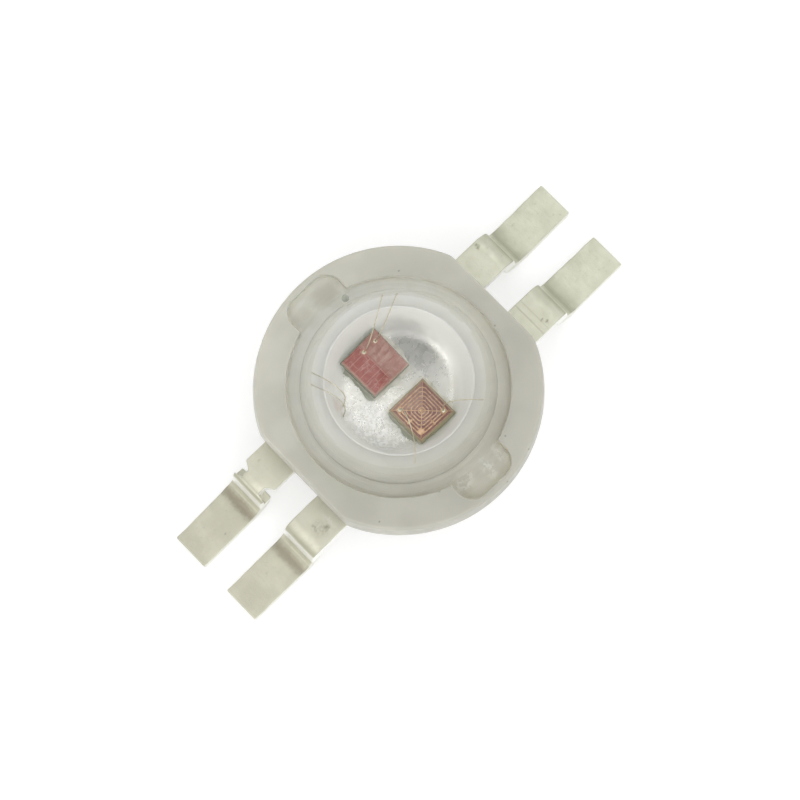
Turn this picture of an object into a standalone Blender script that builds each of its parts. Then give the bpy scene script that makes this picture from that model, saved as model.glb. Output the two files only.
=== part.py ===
"""High-power LED emitter: a round milky housing moulded round a silver-plated heat slug and four leads,
two dice in the slug's reflector cup, gold bond wires, a soft clear fill and a clear dome lens.

Metres, +Z up. The origin lies on the board's surface, in the middle between the leads. +X runs along the
leads. The slug's thermal pad and the feet of the four leads all rest at z = 0.
"""

import math

import bmesh
import bpy
from mathutils import Matrix, Vector

MM = 0.001

# Facets and fits
SEGMENTS = 48                        # facets round a turned piece
ARC_STEP = math.radians(22.5)        # turn between two points of a rounded corner
DOME_STEPS = 12                      # facets from the foot of the dome to its top
CAVITY_STEPS = 7                     # the same, in the hollow under the dome
MERGE = 0.0001 * MM                  # points of one mesh that lie this close are one point
REACH = 1.0 * MM                     # how far a cutter runs past the wall that it cuts
SEAT_GAP = 0.015 * MM                # between pieces that are moulded or bonded to each other
BOND_GAP = 0.005 * MM                # between the thin layers of a die and its seat

# Housing
HOUSING_SHIFT = 0.1 * MM             # housing and lens sit off the middle of the leads, towards -X
BODY_DIAMETER = 8.0 * MM             # over the parting line of the plate
BODY_TOP = 2.85 * MM
BODY_BOTTOM = 0.3 * MM               # height of the underside over the board
FLAT_DEPTH = 0.38 * MM               # how far each flat is cut into the round body
PLATE_THICKNESS = 1.1 * MM
PARTING_DROP = 0.61 * MM             # from the top down to the widest level
PARTING_BAND = 0.24 * MM             # height of that level's upright edge
PLATE_DRAFT = 0.07 * MM              # how far the plate's edge leans in, above and below
PLATE_ROUND = 0.12 * MM
SKIRT_STEP = 0.3 * MM                # how far the lower body stands in from the plate
SKIRT_FLAT_STEP = 0.12 * MM          # the same, on the two flats
SKIRT_CHAMFER = 0.15 * MM

# Pocket and well in the top of the housing
RIM_WIDTH = 0.94 * MM                # top of the housing round the pocket of the lens flange
POCKET_DEPTH = 0.3 * MM              # the flange stands on the ledge at this depth
LEDGE_WIDTH = 0.38 * MM              # how far the flange reaches over the ledge
WELL_DEPTH = 0.35 * MM               # below the ledge
WELL_DRAFT = 0.06 * MM

# Lens
LENS_CLEARANCE = 0.08 * MM           # between flange or ear and the wall of its pocket
FLANGE_THICKNESS = 0.455 * MM
FLANGE_WIDTH = 0.346 * MM            # from the flange's edge in to the dome's sphere
FLANGE_ROUND = 0.06 * MM
DOME_SINK = 0.1 * MM                 # the dome's centre of curvature lies this deep in the housing
LENS_WALL = 0.434 * MM               # at the foot of the dome, round the hollow that the fill takes up
CROWN_THICKNESS = 0.919 * MM         # at the top of the dome
EAR_WALL = 0.26 * MM                 # housing left at the end of an ear's pocket
EAR_WIDTH = 1.6 * MM
EAR_DROP = 0.05 * MM                 # from the housing's top down to an ear's
EAR_LIFT = 0.03 * MM                 # an ear's underside lies this much over the flange's
EAR_CORNER = 0.4 * MM
FILL_HOLE_DIAMETER = 0.22 * MM
FILL_HOLE_INSET = 0.17 * MM          # from the flange's edge to the middle of the hole
FILL_HOLE_ANGLE = math.radians(77)   # from +X
FILL_HOLE_SIDES = 12

# Heat slug, which stands a little off the axis of the housing
SLUG_OFFSET = 0.127 * MM
SLUG_OFFSET_ANGLE = math.radians(45)
PAD_MARGIN = 1.2 * MM                # from the rim of the body in to the thermal pad's
PAD_TOP = 0.55 * MM
PAD_CHAMFER = 0.06 * MM
GROOVE_DEPTH = 0.25 * MM             # the housing grips the slug in this groove
GROOVE_HEIGHT = 0.15 * MM
LOCK_INSET = 0.1 * MM                # the ring over the groove stands in from the pad
LOCK_HEIGHT = 0.2 * MM
LIP_PROUD = 0.1 * MM                 # rim of the cup over the well floor
LIP_WIDTH = 0.14 * MM
LIP_CHAMFER = 0.04 * MM
CUP_RIM_DIAMETER = 2.68 * MM
CUP_DRAFT = 0.16 * MM                # how far the cup's wall leans in on its way down
CUP_DEPTH = 0.52 * MM
CUP_FILLET = 0.1 * MM

# Leads
LEAD_THICKNESS = 0.4 * MM
LEAD_WIDTH = 1.15 * MM
LEAD_PITCH = 2.09 * MM
EXIT_DROP = 0.4 * MM                 # from the plate down to mid-thickness, where a lead comes out
LEG_REACH = 1.33 * MM                # from the flat's depth to the leg's outer face, at its top
LEG_SLANT = 0.12 * MM                # how much further out the leg stands below
FOOT_LENGTH = 2.31 * MM
SHOULDER_RADIUS = 0.12 * MM          # inside radius of the upper bend
ANKLE_RADIUS = 0.45 * MM             # inside radius of the lower bend
POST_PROUD = 0.02 * MM               # the bonding posts stand this much over the well floor
POST_INNER_END = 0.9 * MM            # least distance of a post from the plane x = 0
POST_CLEARANCE = 0.12 * MM           # between a post and the slug's stem
JOGGLE_INSET = 0.15 * MM             # inside the well's wall, where the lead starts to step down
JOGGLE_RUN = 0.4 * MM
JOGGLE_RADIUS = 0.12 * MM
NOTCH_SETBACK = 0.5 * MM             # notches in both edges of one lead, this far before its leg's face
NOTCH_LENGTH = 0.4 * MM
NOTCH_DEPTH = 0.23 * MM
NOTCH_ROUND = 0.12 * MM
NOTCH_DROP = 0.25 * MM               # below the middle of the lead, where the notches end on the leg

# Dice
DIE_SIDE = 0.8 * MM
DIE_HEIGHT = 0.15 * MM
DIE_EDGE = 0.02 * MM                 # bevel round the upper face
DIE_PITCH = 1.125 * MM
ATTACH_HEIGHT = 0.02 * MM
ATTACH_SPREAD = 0.06 * MM            # mean width of the fringe round a die
ATTACH_WAVE = 0.035 * MM             # how far the fringe's edge wanders
ATTACH_INSET = 0.095 * MM            # no fringe nearer than this to the foot of the cup's wall
ATTACH_POINTS = 40
ELECTRODE_HEIGHT = 0.012 * MM
ELECTRODE_MARGIN = 0.03 * MM         # from the electrode's border to the die's edge
WEB_LINE = 0.02 * MM
WEB_RINGS = 7
WEB_CUT = 0.07 * MM                  # length of side lost at each corner of a ring of the web
WEB_TIP_SHARE = 0.4                  # how much of it the corner's blunt tip stands back
TICK_WIDTH = 0.03 * MM               # bars that join some rings of the web in the middle of two sides
TICK_RINGS = (4.4, 6.4)              # from one ring to another, counted from the centre
HUB_RADIUS = 0.036 * MM              # ring round the centre of the web
FINGER_LINE = 0.018 * MM
FINGER_COUNT = 5
BOND_PAD_EXTRA = 0.003 * MM          # how far a pad stands out of the electrode, above and below

# Bond wires
WIRE_DIAMETER = 0.032 * MM
WIRE_STEPS = 13
WIRE_SIDES = 8
LOOP_HEIGHT = 0.34 * MM              # crest of a loop over the rim of the cup
BALL_DIAMETER = 0.085 * MM
BALL_HEIGHT = 0.03 * MM
STITCH_WIDTH = 0.06 * MM
STITCH_HEIGHT = 0.012 * MM
STITCH_INSET = 0.05 * MM             # from a post's inner end to a stitch
TUNNEL_SIDES = 6

# Values that follow from those above
PLATE_BOTTOM = BODY_TOP - PLATE_THICKNESS
PARTING_LINE = BODY_TOP - PARTING_DROP
FLAT_DISTANCE = BODY_DIAMETER / 2 - FLAT_DEPTH
LEDGE_HEIGHT = BODY_TOP - POCKET_DEPTH
WELL_FLOOR = LEDGE_HEIGHT - WELL_DEPTH
FLANGE_DIAMETER = BODY_DIAMETER - 2 * (RIM_WIDTH + LENS_CLEARANCE)
FLANGE_BOTTOM = LEDGE_HEIGHT + SEAT_GAP
FLANGE_TOP = FLANGE_BOTTOM + FLANGE_THICKNESS
WELL_DIAMETER = FLANGE_DIAMETER - 2 * LEDGE_WIDTH
DOME_RADIUS = FLANGE_DIAMETER / 2 - FLANGE_WIDTH
DOME_CENTRE = BODY_TOP - DOME_SINK
CAVITY_DIAMETER = 2 * (DOME_RADIUS - LENS_WALL)
CAVITY_DEPTH = DOME_CENTRE + DOME_RADIUS - CROWN_THICKNESS - FLANGE_BOTTOM
EAR_REACH = BODY_DIAMETER / 2 - EAR_WALL - LENS_CLEARANCE
EAR_TOP = BODY_TOP - EAR_DROP
FILL_HOLE_RADIUS = FLANGE_DIAMETER / 2 - FILL_HOLE_INSET
PAD_DIAMETER = BODY_DIAMETER - 2 * PAD_MARGIN
GROOVE_DIAMETER = PAD_DIAMETER - 2 * GROOVE_DEPTH
GROOVE_TOP = PAD_TOP + GROOVE_HEIGHT
LOCK_DIAMETER = PAD_DIAMETER - 2 * LOCK_INSET
LOCK_TOP = GROOVE_TOP + LOCK_HEIGHT
LIP_HEIGHT = WELL_FLOOR + LIP_PROUD
STEM_DIAMETER = CUP_RIM_DIAMETER + 2 * LIP_WIDTH
CUP_FLOOR_DIAMETER = CUP_RIM_DIAMETER - 2 * CUP_DRAFT
CUP_FLOOR = LIP_HEIGHT - CUP_DEPTH
HOUSING_CENTRE = Vector((-HOUSING_SHIFT, 0.0, 0.0))
SLUG_WAY = Vector((math.cos(SLUG_OFFSET_ANGLE), math.sin(SLUG_OFFSET_ANGLE), 0.0))
SLUG_CENTRE = HOUSING_CENTRE + SLUG_WAY * SLUG_OFFSET
EXIT_HEIGHT = PLATE_BOTTOM - EXIT_DROP
LEG_DISTANCE = FLAT_DISTANCE + LEG_REACH
TIP_DISTANCE = LEG_DISTANCE + FOOT_LENGTH
POST_TOP = WELL_FLOOR + POST_PROUD
POST_RADIUS = STEM_DIAMETER / 2 + POST_CLEARANCE
JOGGLE_START = WELL_DIAMETER / 2 - JOGGLE_INSET
JOGGLE_END = JOGGLE_START + JOGGLE_RUN
NOTCH_START = LEG_DISTANCE - NOTCH_SETBACK
NOTCH_END = NOTCH_START + NOTCH_LENGTH
DIE_BOTTOM = CUP_FLOOR + BOND_GAP + ATTACH_HEIGHT + BOND_GAP
DIE_TOP = DIE_BOTTOM + DIE_HEIGHT
ATTACH_LIMIT = CUP_FLOOR_DIAMETER / 2 - ATTACH_INSET
ELECTRODE_BOTTOM = DIE_TOP + BOND_GAP
ELECTRODE_HALF = DIE_SIDE / 2 - ELECTRODE_MARGIN
WEB_STEP = ELECTRODE_HALF / WEB_RINGS
BOND_PAD_TOP = ELECTRODE_BOTTOM + ELECTRODE_HEIGHT + BOND_PAD_EXTRA

LEAD_SIDES = {"a": (1, 1), "b": (1, -1), "c": (-1, 1), "d": (-1, -1)}
NOTCHED_LEAD = "c"

# Bonding pads of each die, in rings of the web from its centre, and a pad without a wire
PADS_1 = [(5, 5), (0, 5)]
PADS_2 = [(5, -5), (-5, 5)]
SPARE_PAD_2 = (-5, -5)

# Where each wire of a die ends: degrees round the slug, and how far its crest bows to the left
WIRES_1 = [(46, 0.0), (55, 0.0)]
WIRES_2 = [(-54, 0.0), (-124, 0.25 * MM)]

# Wires from the cup floor to the notched lead: degrees at the start and at the end, and distance
# of the start from the foot of the cup's wall
GROUND_WIRES = [(153, 127, 0.22 * MM), (163, 135, 0.14 * MM)]


def clear_scene():
    for obj in list(bpy.data.objects):
        bpy.data.objects.remove(obj)


def make_material(name, colour, roughness, metallic=0.0, transmission=0.0):
    made = bpy.data.materials.new(name)
    made.use_nodes = True
    shader = made.node_tree.nodes["Principled BSDF"]
    shader.inputs["Base Color"].default_value = (*colour, 1.0)
    shader.inputs["Roughness"].default_value = roughness
    shader.inputs["Metallic"].default_value = metallic
    shader.inputs["Transmission Weight"].default_value = transmission
    made.diffuse_color = (*colour, 1.0)
    return made


def finished(shape, name):
    """The bmesh as an object's mesh, with its points merged and its faces turned outwards."""
    bmesh.ops.remove_doubles(shape, verts=shape.verts, dist=MERGE)
    bmesh.ops.recalc_face_normals(shape, faces=shape.faces)
    mesh = bpy.data.meshes.new(name)
    shape.to_mesh(mesh)
    shape.free()
    mesh.shade_smooth()
    mesh.set_sharp_from_angle(angle=math.radians(30))
    obj = bpy.data.objects.new(name, mesh)
    bpy.context.scene.collection.objects.link(obj)
    return obj


def painted(obj, material):
    obj.data.materials.append(material)
    return obj


def at_housing(obj):
    """Moves what is drawn round the Z axis to the axis of the housing."""
    obj.location = HOUSING_CENTRE
    return obj


def as_cutter(obj):
    obj.hide_render = True
    obj.display_type = "WIRE"
    return obj


def combine(obj, tool, operation="DIFFERENCE"):
    """Leaves a Boolean on the object, which the hidden tool cuts or joins."""
    modifier = obj.modifiers.new(tool.name, "BOOLEAN")
    modifier.object = as_cutter(tool)
    modifier.operation = operation


def rounded(corners):
    """Points along a line of (x, z, radius) corners, with an arc at each corner that has a radius."""
    points = []
    for index, (x, z, radius) in enumerate(corners):
        here = Vector((x, z))
        if radius <= 0:
            points.append(here)
            continue
        before = (Vector(corners[index - 1][:2]) - here).normalized()
        after = (Vector(corners[index + 1][:2]) - here).normalized()
        half = before.angle(after) / 2
        centre = here + (before + after).normalized() * (radius / math.sin(half))
        start = here + before * (radius / math.tan(half)) - centre
        turn = math.pi - 2 * half
        if before.x * after.y - before.y * after.x > 0:
            turn = -turn
        steps = max(2, round(abs(turn) / ARC_STEP))
        points += [centre + Matrix.Rotation(turn * n / steps, 2) @ start for n in range(steps + 1)]
    return points


def arc(centre, radius, start, end, steps):
    """Points (x, z) on an arc round a point of the axis, between two angles from the +X direction."""
    angles = [start + (end - start) * n / steps for n in range(steps + 1)]
    return [Vector((radius * math.cos(a), centre + radius * math.sin(a))) for a in angles]


def turned(name, profile):
    """A solid of revolution round Z, from a closed profile of (radius, height) points."""
    shape = bmesh.new()
    points = [shape.verts.new((r, 0.0, z)) for r, z in profile]
    edges = [shape.edges.new(pair) for pair in zip(points, points[1:])]
    if min(profile[0][0], profile[-1][0]) > 0:
        edges.append(shape.edges.new((points[-1], points[0])))
    bmesh.ops.spin(
        shape, geom=points + edges, axis=(0, 0, 1), cent=(0, 0, 0), angle=2 * math.pi, steps=SEGMENTS
    )
    return finished(shape, name)


def prism(name, outline, low, high, along="Z"):
    """A straight-sided solid on an outline: of (x, y) points along Z, or of (x, z) points along Y."""
    shape = bmesh.new()
    points = [(a, b, low) if along == "Z" else (a, low, b) for a, b in outline]
    base = shape.faces.new([shape.verts.new(point) for point in points])
    grown = bmesh.ops.extrude_face_region(shape, geom=[base])["geom"]
    moved = [item for item in grown if isinstance(item, bmesh.types.BMVert)]
    way = Vector((0, 0, 1)) if along == "Z" else Vector((0, 1, 0))
    bmesh.ops.translate(shape, verts=moved, vec=way * (high - low))
    return finished(shape, name)


def box_outline(x0, x1, y0, y1):
    return [(x0, y0), (x1, y0), (x1, y1), (x0, y1)]


# Housing

def housing_profile():
    plate = BODY_DIAMETER / 2
    skirt = plate - SKIRT_STEP
    well = WELL_DIAMETER / 2
    pocket = FLANGE_DIAMETER / 2 + LENS_CLEARANCE
    return rounded([
        (0.0, BODY_BOTTOM, 0),
        (skirt - SKIRT_CHAMFER, BODY_BOTTOM, 0),
        (skirt, BODY_BOTTOM + SKIRT_CHAMFER, 0),
        (skirt, PLATE_BOTTOM, 0),
        (plate - PLATE_DRAFT, PLATE_BOTTOM, 0),
        (plate, PARTING_LINE - PARTING_BAND / 2, 0),
        (plate, PARTING_LINE + PARTING_BAND / 2, 0),
        (plate - PLATE_DRAFT, BODY_TOP, PLATE_ROUND),
        (pocket, BODY_TOP, PLATE_ROUND / 2),
        (pocket, LEDGE_HEIGHT, 0),
        (well + WELL_DRAFT, LEDGE_HEIGHT, 0),
        (well, WELL_FLOOR, 0),
        (0.0, WELL_FLOOR, 0),
    ])


def flat_cutter(side):
    """Takes the round body back to the flat of one side, and the lower body a step further."""
    plate, skirt = FLAT_DISTANCE, FLAT_DISTANCE - SKIRT_FLAT_STEP
    out, top, bottom = BODY_DIAMETER, BODY_TOP + REACH, BODY_BOTTOM - REACH
    outline = [(plate, top), (plate, PLATE_BOTTOM), (skirt, PLATE_BOTTOM), (skirt, bottom)]
    outline += [(out, bottom), (out, top)]
    name = "flat_cutter_right" if side > 0 else "flat_cutter_left"
    return prism(name, [(side * x, z) for x, z in outline], -out, out, along="Y")


def ear_outline(side, grow=0.0):
    """Plan of one ear, from inside the flange to its rounded end."""
    half, reach, root = EAR_WIDTH / 2 + grow, EAR_REACH + grow, FLANGE_DIAMETER / 2 - 5 * EAR_LIFT
    corner = EAR_CORNER + grow
    corners = [(half, root, 0), (half, reach, corner), (-half, reach, corner), (-half, root, 0)]
    return [(x, side * y) for x, y in rounded(corners)]


def make_housing(material):
    housing = painted(at_housing(turned("housing", housing_profile())), material)
    for side in (1, -1):
        combine(housing, at_housing(flat_cutter(side)))
        pocket = ear_outline(side, LENS_CLEARANCE)
        name = "ear_pocket_front" if side > 0 else "ear_pocket_back"
        combine(housing, at_housing(prism(name, pocket, LEDGE_HEIGHT, BODY_TOP + REACH)))
    combine(housing, slug_bore())
    for key, sides in LEAD_SIDES.items():
        combine(housing, lead_strip("lead_slot_" + key, sides, SEAT_GAP))
    return housing


# Heat slug

def slug_side(grow):
    """Corners up the outside of the slug, from its axis below to the foot of its lip's chamfer."""
    pad, groove, lock = PAD_DIAMETER / 2 + grow, GROOVE_DIAMETER / 2 + grow, LOCK_DIAMETER / 2 + grow
    stem = STEM_DIAMETER / 2 + grow
    return [
        (0.0, -grow, 0),
        (pad - PAD_CHAMFER, -grow, 0),
        (pad, PAD_CHAMFER - grow, 0),
        (pad, PAD_TOP + grow, 0),
        (groove, PAD_TOP + grow, 0),
        (groove, GROOVE_TOP - grow, 0),
        (lock, GROOVE_TOP - grow, 0),
        (lock, LOCK_TOP + grow, 0),
        (stem, LOCK_TOP + grow, 0),
    ]


def slug_solid(name, grow=0.0):
    """The slug with its cup, or with grow the space that it needs."""
    stem, lip = STEM_DIAMETER / 2 + grow, LIP_HEIGHT + grow
    rim, floor = CUP_RIM_DIAMETER / 2 - grow, CUP_FLOOR_DIAMETER / 2 - grow
    top = [
        (stem, lip - LIP_CHAMFER, 0),
        (stem - LIP_CHAMFER, lip, 0),
        (rim + LIP_CHAMFER, lip, 0),
        (rim, lip - LIP_CHAMFER, 0),
        (floor, CUP_FLOOR + grow, CUP_FILLET),
        (0.0, CUP_FLOOR + grow, 0),
    ]
    slug = turned(name, rounded(slug_side(grow) + top))
    slug.location = SLUG_CENTRE
    return slug


def slug_bore():
    """What the slug takes out of the housing: its outside, open at the top."""
    stem, top = STEM_DIAMETER / 2 + SEAT_GAP, LIP_HEIGHT + REACH
    bore = turned("slug_bore", rounded(slug_side(SEAT_GAP) + [(stem, top, 0), (0.0, top, 0)]))
    bore.location = SLUG_CENTRE
    return bore


# Leads

def lead_line():
    """Corners (x, z, radius) along the middle of a lead, from its bonding post to its tip."""
    half = LEAD_THICKNESS / 2
    post, leg = POST_TOP - half, LEG_DISTANCE - half
    return [
        (POST_INNER_END, post, 0),
        (JOGGLE_START, post, JOGGLE_RADIUS + half),
        (JOGGLE_END, EXIT_HEIGHT, JOGGLE_RADIUS + half),
        (leg, EXIT_HEIGHT, SHOULDER_RADIUS + half),
        (leg + LEG_SLANT, half, ANKLE_RADIUS + half),
        (TIP_DISTANCE, half, 0),
    ]


def lead_outline(grow):
    """Side view of the strip: its middle line moved half a thickness to either side."""
    line = rounded(lead_line())
    line[0] = line[0] - Vector((grow, 0.0))
    line[-1] = line[-1] + Vector((grow, 0.0))
    half = LEAD_THICKNESS / 2 + grow
    upper, lower = [], []
    for index, point in enumerate(line):
        before = (point - line[index - 1]).normalized() if index else (line[1] - point).normalized()
        after = (line[index + 1] - point).normalized() if index + 1 < len(line) else before
        along = (before + after).normalized()
        normal = Vector((-along.y, along.x)) / along.dot(before)
        upper.append(point + normal * half)
        lower.append(point - normal * half)
    return upper + lower[::-1]


def lead_strip(name, sides, grow=0.0):
    """A lead's bent strip, cut back round the slug, or with grow the space that it needs."""
    side_x, side_y = sides
    outline = [(side_x * x, z) for x, z in lead_outline(grow)]
    middle, half = side_y * LEAD_PITCH / 2, LEAD_WIDTH / 2 + grow
    strip = prism(name, outline, middle - half, middle + half, along="Y")
    radius = POST_RADIUS - grow
    ring = [(radius, BODY_BOTTOM - REACH), (radius, BODY_TOP + REACH)]
    profile = [(0.0, BODY_BOTTOM - REACH), *ring, (0.0, BODY_TOP + REACH)]
    clearance = turned(name + "_round_slug", profile)
    clearance.location = SLUG_CENTRE
    combine(strip, clearance)
    return strip


def notch_outline(sides, edge):
    """Plan of one notch, which comes in from an edge of the strip (1 outer, -1 inner)."""
    side_x, side_y = sides
    rim = LEAD_WIDTH / 2 + REACH / 4
    root = LEAD_WIDTH / 2 - NOTCH_DEPTH
    corners = [
        (NOTCH_START, rim, 0),
        (NOTCH_START, root, NOTCH_ROUND),
        (NOTCH_END, root, NOTCH_ROUND),
        (NOTCH_END, rim, 0),
    ]
    middle = LEAD_PITCH / 2
    return [(side_x * x, side_y * (middle + edge * y)) for x, y in rounded(corners)]


def make_lead(key, material):
    sides = LEAD_SIDES[key]
    lead = painted(lead_strip("lead_" + key, sides), material)
    if key == NOTCHED_LEAD:
        for edge, word in ((1, "outer"), (-1, "inner")):
            outline = notch_outline(sides, edge)
            top = EXIT_HEIGHT + LEAD_THICKNESS
            combine(lead, prism("notch_" + word, outline, EXIT_HEIGHT - NOTCH_DROP, top))
    return lead


# Lens and fill

def dome_points(radius, centre, start_height, steps):
    """The dome's curve from the height where it starts up to the axis."""
    start = math.asin((start_height - centre) / radius)
    return arc(centre, radius, start, math.pi / 2, steps)


def cavity_points(grow, steps):
    """The hollow under the dome, half an ellipse, from its edge up to the axis."""
    across, depth = CAVITY_DIAMETER / 2 - grow, CAVITY_DEPTH - grow
    angles = [math.pi / 2 * n / steps for n in range(steps + 1)]
    return [Vector((across * math.cos(a), FLANGE_BOTTOM + depth * math.sin(a))) for a in angles]


def make_lens(material):
    flange = FLANGE_DIAMETER / 2
    outside = dome_points(DOME_RADIUS, DOME_CENTRE, FLANGE_TOP, DOME_STEPS)
    rim = rounded([
        (flange, FLANGE_BOTTOM, 0),
        (flange, FLANGE_TOP, FLANGE_ROUND),
        (outside[0].x, FLANGE_TOP, 0),
    ])
    outside[-1].x = 0.0
    inside = cavity_points(0.0, CAVITY_STEPS)
    inside[-1].x = 0.0
    lens = painted(at_housing(turned("lens", inside[::-1] + rim[:-1] + outside)), material)
    for side in (1, -1):
        name = "ear_front" if side > 0 else "ear_back"
        ear = prism(name, ear_outline(side), FLANGE_BOTTOM + EAR_LIFT, EAR_TOP)
        combine(lens, at_housing(ear), "UNION")
    radius = FILL_HOLE_DIAMETER / 2
    x = FILL_HOLE_RADIUS * math.cos(FILL_HOLE_ANGLE)
    y = FILL_HOLE_RADIUS * math.sin(FILL_HOLE_ANGLE)
    turns = [math.tau * n / FILL_HOLE_SIDES for n in range(FILL_HOLE_SIDES)]
    hole = [(x + radius * math.cos(a), y + radius * math.sin(a)) for a in turns]
    combine(lens, at_housing(prism("fill_hole", hole, LEDGE_HEIGHT, FLANGE_TOP + REACH)))
    return lens


def make_fill(material):
    """Clear fill: under the lens, over the well floor and down into the cup, round all that stands in it."""
    well = WELL_DIAMETER / 2 - SEAT_GAP
    top = FLANGE_BOTTOM - SEAT_GAP
    dome = cavity_points(SEAT_GAP, CAVITY_STEPS)
    dome[-1].x = 0.0
    drop = WELL_FLOOR + SEAT_GAP
    profile = [Vector((0.0, drop)), Vector((well, drop)), Vector((well, top)), Vector((dome[0].x, top))]
    fill = painted(at_housing(turned("silicone_fill", profile + dome)), material)
    plug_radius = (CUP_RIM_DIAMETER + STEM_DIAMETER) / 4
    plug = turned("cup_plug", [(0.0, CUP_FLOOR), (plug_radius, CUP_FLOOR), (plug_radius, top), (0.0, top)])
    plug.location = SLUG_CENTRE
    combine(fill, plug, "UNION")
    combine(fill, slug_solid("slug_space", SEAT_GAP))
    for key, sides in LEAD_SIDES.items():
        combine(fill, lead_strip("post_space_" + key, sides, SEAT_GAP))
    for number, centre in enumerate(die_centres(), 1):
        half = DIE_SIDE / 2 + SEAT_GAP
        outline = box_outline(centre.x - half, centre.x + half, centre.y - half, centre.y + half)
        space = prism(f"die_space_{number}", outline, CUP_FLOOR - SEAT_GAP, BOND_PAD_TOP + SEAT_GAP)
        combine(fill, space)
        fringe = attach_solid(f"attach_space_{number}", number, centre, SEAT_GAP)
        combine(fill, fringe)
    for number, (start, end, bow) in enumerate(wire_ends(), 1):
        tunnel = wire_solid(f"wire_space_{number}", start, end, bow, SEAT_GAP, TUNNEL_SIDES)
        combine(fill, tunnel)
    return fill


# Dice

def die_centres():
    half = Vector((0.0, DIE_PITCH / 2, 0.0))
    return [SLUG_CENTRE + half, SLUG_CENTRE - half]


def square(half):
    return [Vector((-half, -half)), Vector((half, -half)), Vector((half, half)), Vector((-half, half))]


def make_die(number, centre, material):
    """A sawn square chip with a small bevel round its upper face."""
    shape = bmesh.new()
    half = DIE_SIDE / 2
    levels = [(half, 0.0), (half, DIE_HEIGHT - DIE_EDGE), (half - DIE_EDGE, DIE_HEIGHT)]
    rings = [[shape.verts.new((p.x, p.y, z)) for p in square(reach)] for reach, z in levels]
    for low, high in zip(rings, rings[1:]):
        for n in range(4):
            shape.faces.new((low[n], low[n - 3], high[n - 3], high[n]))
    shape.faces.new(rings[0])
    shape.faces.new(rings[-1])
    die = painted(finished(shape, f"die_{number}"), material)
    die.location = (centre.x, centre.y, DIE_BOTTOM)
    return die


def attach_solid(name, number, centre, grow=0.0):
    """Bonding material that has run out round a die, with a wandering edge."""
    half = DIE_SIDE / 2 + ATTACH_SPREAD + grow
    outline = []
    for n in range(ATTACH_POINTS):
        angle = math.tau * n / ATTACH_POINTS
        reach = half / max(abs(math.cos(angle)), abs(math.sin(angle)))
        reach = min(reach, half * 1.3)
        wave = math.sin(5 * angle + 2 * number) + 0.6 * math.sin(11 * angle + 5 * number)
        reach += ATTACH_WAVE * wave / 1.6
        point = centre + Vector((math.cos(angle), math.sin(angle), 0.0)) * reach - SLUG_CENTRE
        point = SLUG_CENTRE + point * min(1.0, (ATTACH_LIMIT + grow) / point.length)
        outline.append((point.x, point.y))
    bottom = CUP_FLOOR + BOND_GAP
    return prism(name, outline, bottom - grow, bottom + ATTACH_HEIGHT + grow)


def openings(name, shape, line):
    """Upright prisms on the cells of a flat mesh, each cell drawn in by half the width of a line."""
    shape.normal_update()
    frames = bmesh.ops.inset_individual(shape, faces=list(shape.faces), thickness=line / 2)["faces"]
    bmesh.ops.delete(shape, geom=frames, context="FACES")
    bmesh.ops.translate(shape, verts=shape.verts, vec=(0.0, 0.0, -REACH))
    grown = bmesh.ops.extrude_face_region(shape, geom=list(shape.faces))["geom"]
    moved = [item for item in grown if isinstance(item, bmesh.types.BMVert)]
    bmesh.ops.translate(shape, verts=moved, vec=(0.0, 0.0, 2 * REACH))
    return finished(shape, name)


def ring_corner(half, quarter):
    """A ring's cut corner: the end of one side, a blunt tip on the diagonal, the start of the next side."""
    cut = min(WEB_CUT, half / 2) if half < ELECTRODE_HALF else 0.0
    tip = half - cut * WEB_TIP_SHARE
    turn = Matrix.Rotation(math.pi / 2 * quarter, 2)
    return [turn @ Vector(point) for point in [(half, half - cut), (tip, tip), (half - cut, half)]]


def web_cells():
    """Squares inside each other with blunted corners, cut along both diagonals."""
    shape = bmesh.new()

    def corner_points(ring, quarter):
        return [shape.verts.new((p.x, p.y, 0.0)) for p in ring_corner(WEB_STEP * ring, quarter)]

    middle = shape.verts.new((0.0, 0.0, 0.0))
    inner = None
    for ring in range(1, WEB_RINGS + 1):
        outer = [corner_points(ring, quarter) for quarter in range(4)]
        for n in range(4):
            side = [outer[n - 1][1], outer[n - 1][2], outer[n][0], outer[n][1]]
            back = [inner[n][1], inner[n][0], inner[n - 1][2], inner[n - 1][1]] if inner else [middle]
            shape.faces.new(side + back)
        inner = outer
    bmesh.ops.remove_doubles(shape, verts=shape.verts, dist=MERGE)
    return shape


def finger_cells():
    """Two columns of cells, so that the fingers along X cross a bus bar along Y."""
    shape = bmesh.new()
    columns = [-ELECTRODE_HALF, 0.0, ELECTRODE_HALF]
    pitch = 2 * ELECTRODE_HALF / (FINGER_COUNT + 1)
    rows = [-ELECTRODE_HALF + pitch * n for n in range(FINGER_COUNT + 2)]
    points = [[shape.verts.new((x, y, 0.0)) for x in columns] for y in rows]
    for low, high in zip(points, points[1:]):
        for n in range(len(columns) - 1):
            shape.faces.new((low[n], low[n + 1], high[n + 1], high[n]))
    return shape


def pad_places(pads):
    """Centres of the bonding pads, from their places in rings of the web."""
    return [Vector((x * WEB_STEP, y * WEB_STEP, 0.0)) for x, y in pads]


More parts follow.
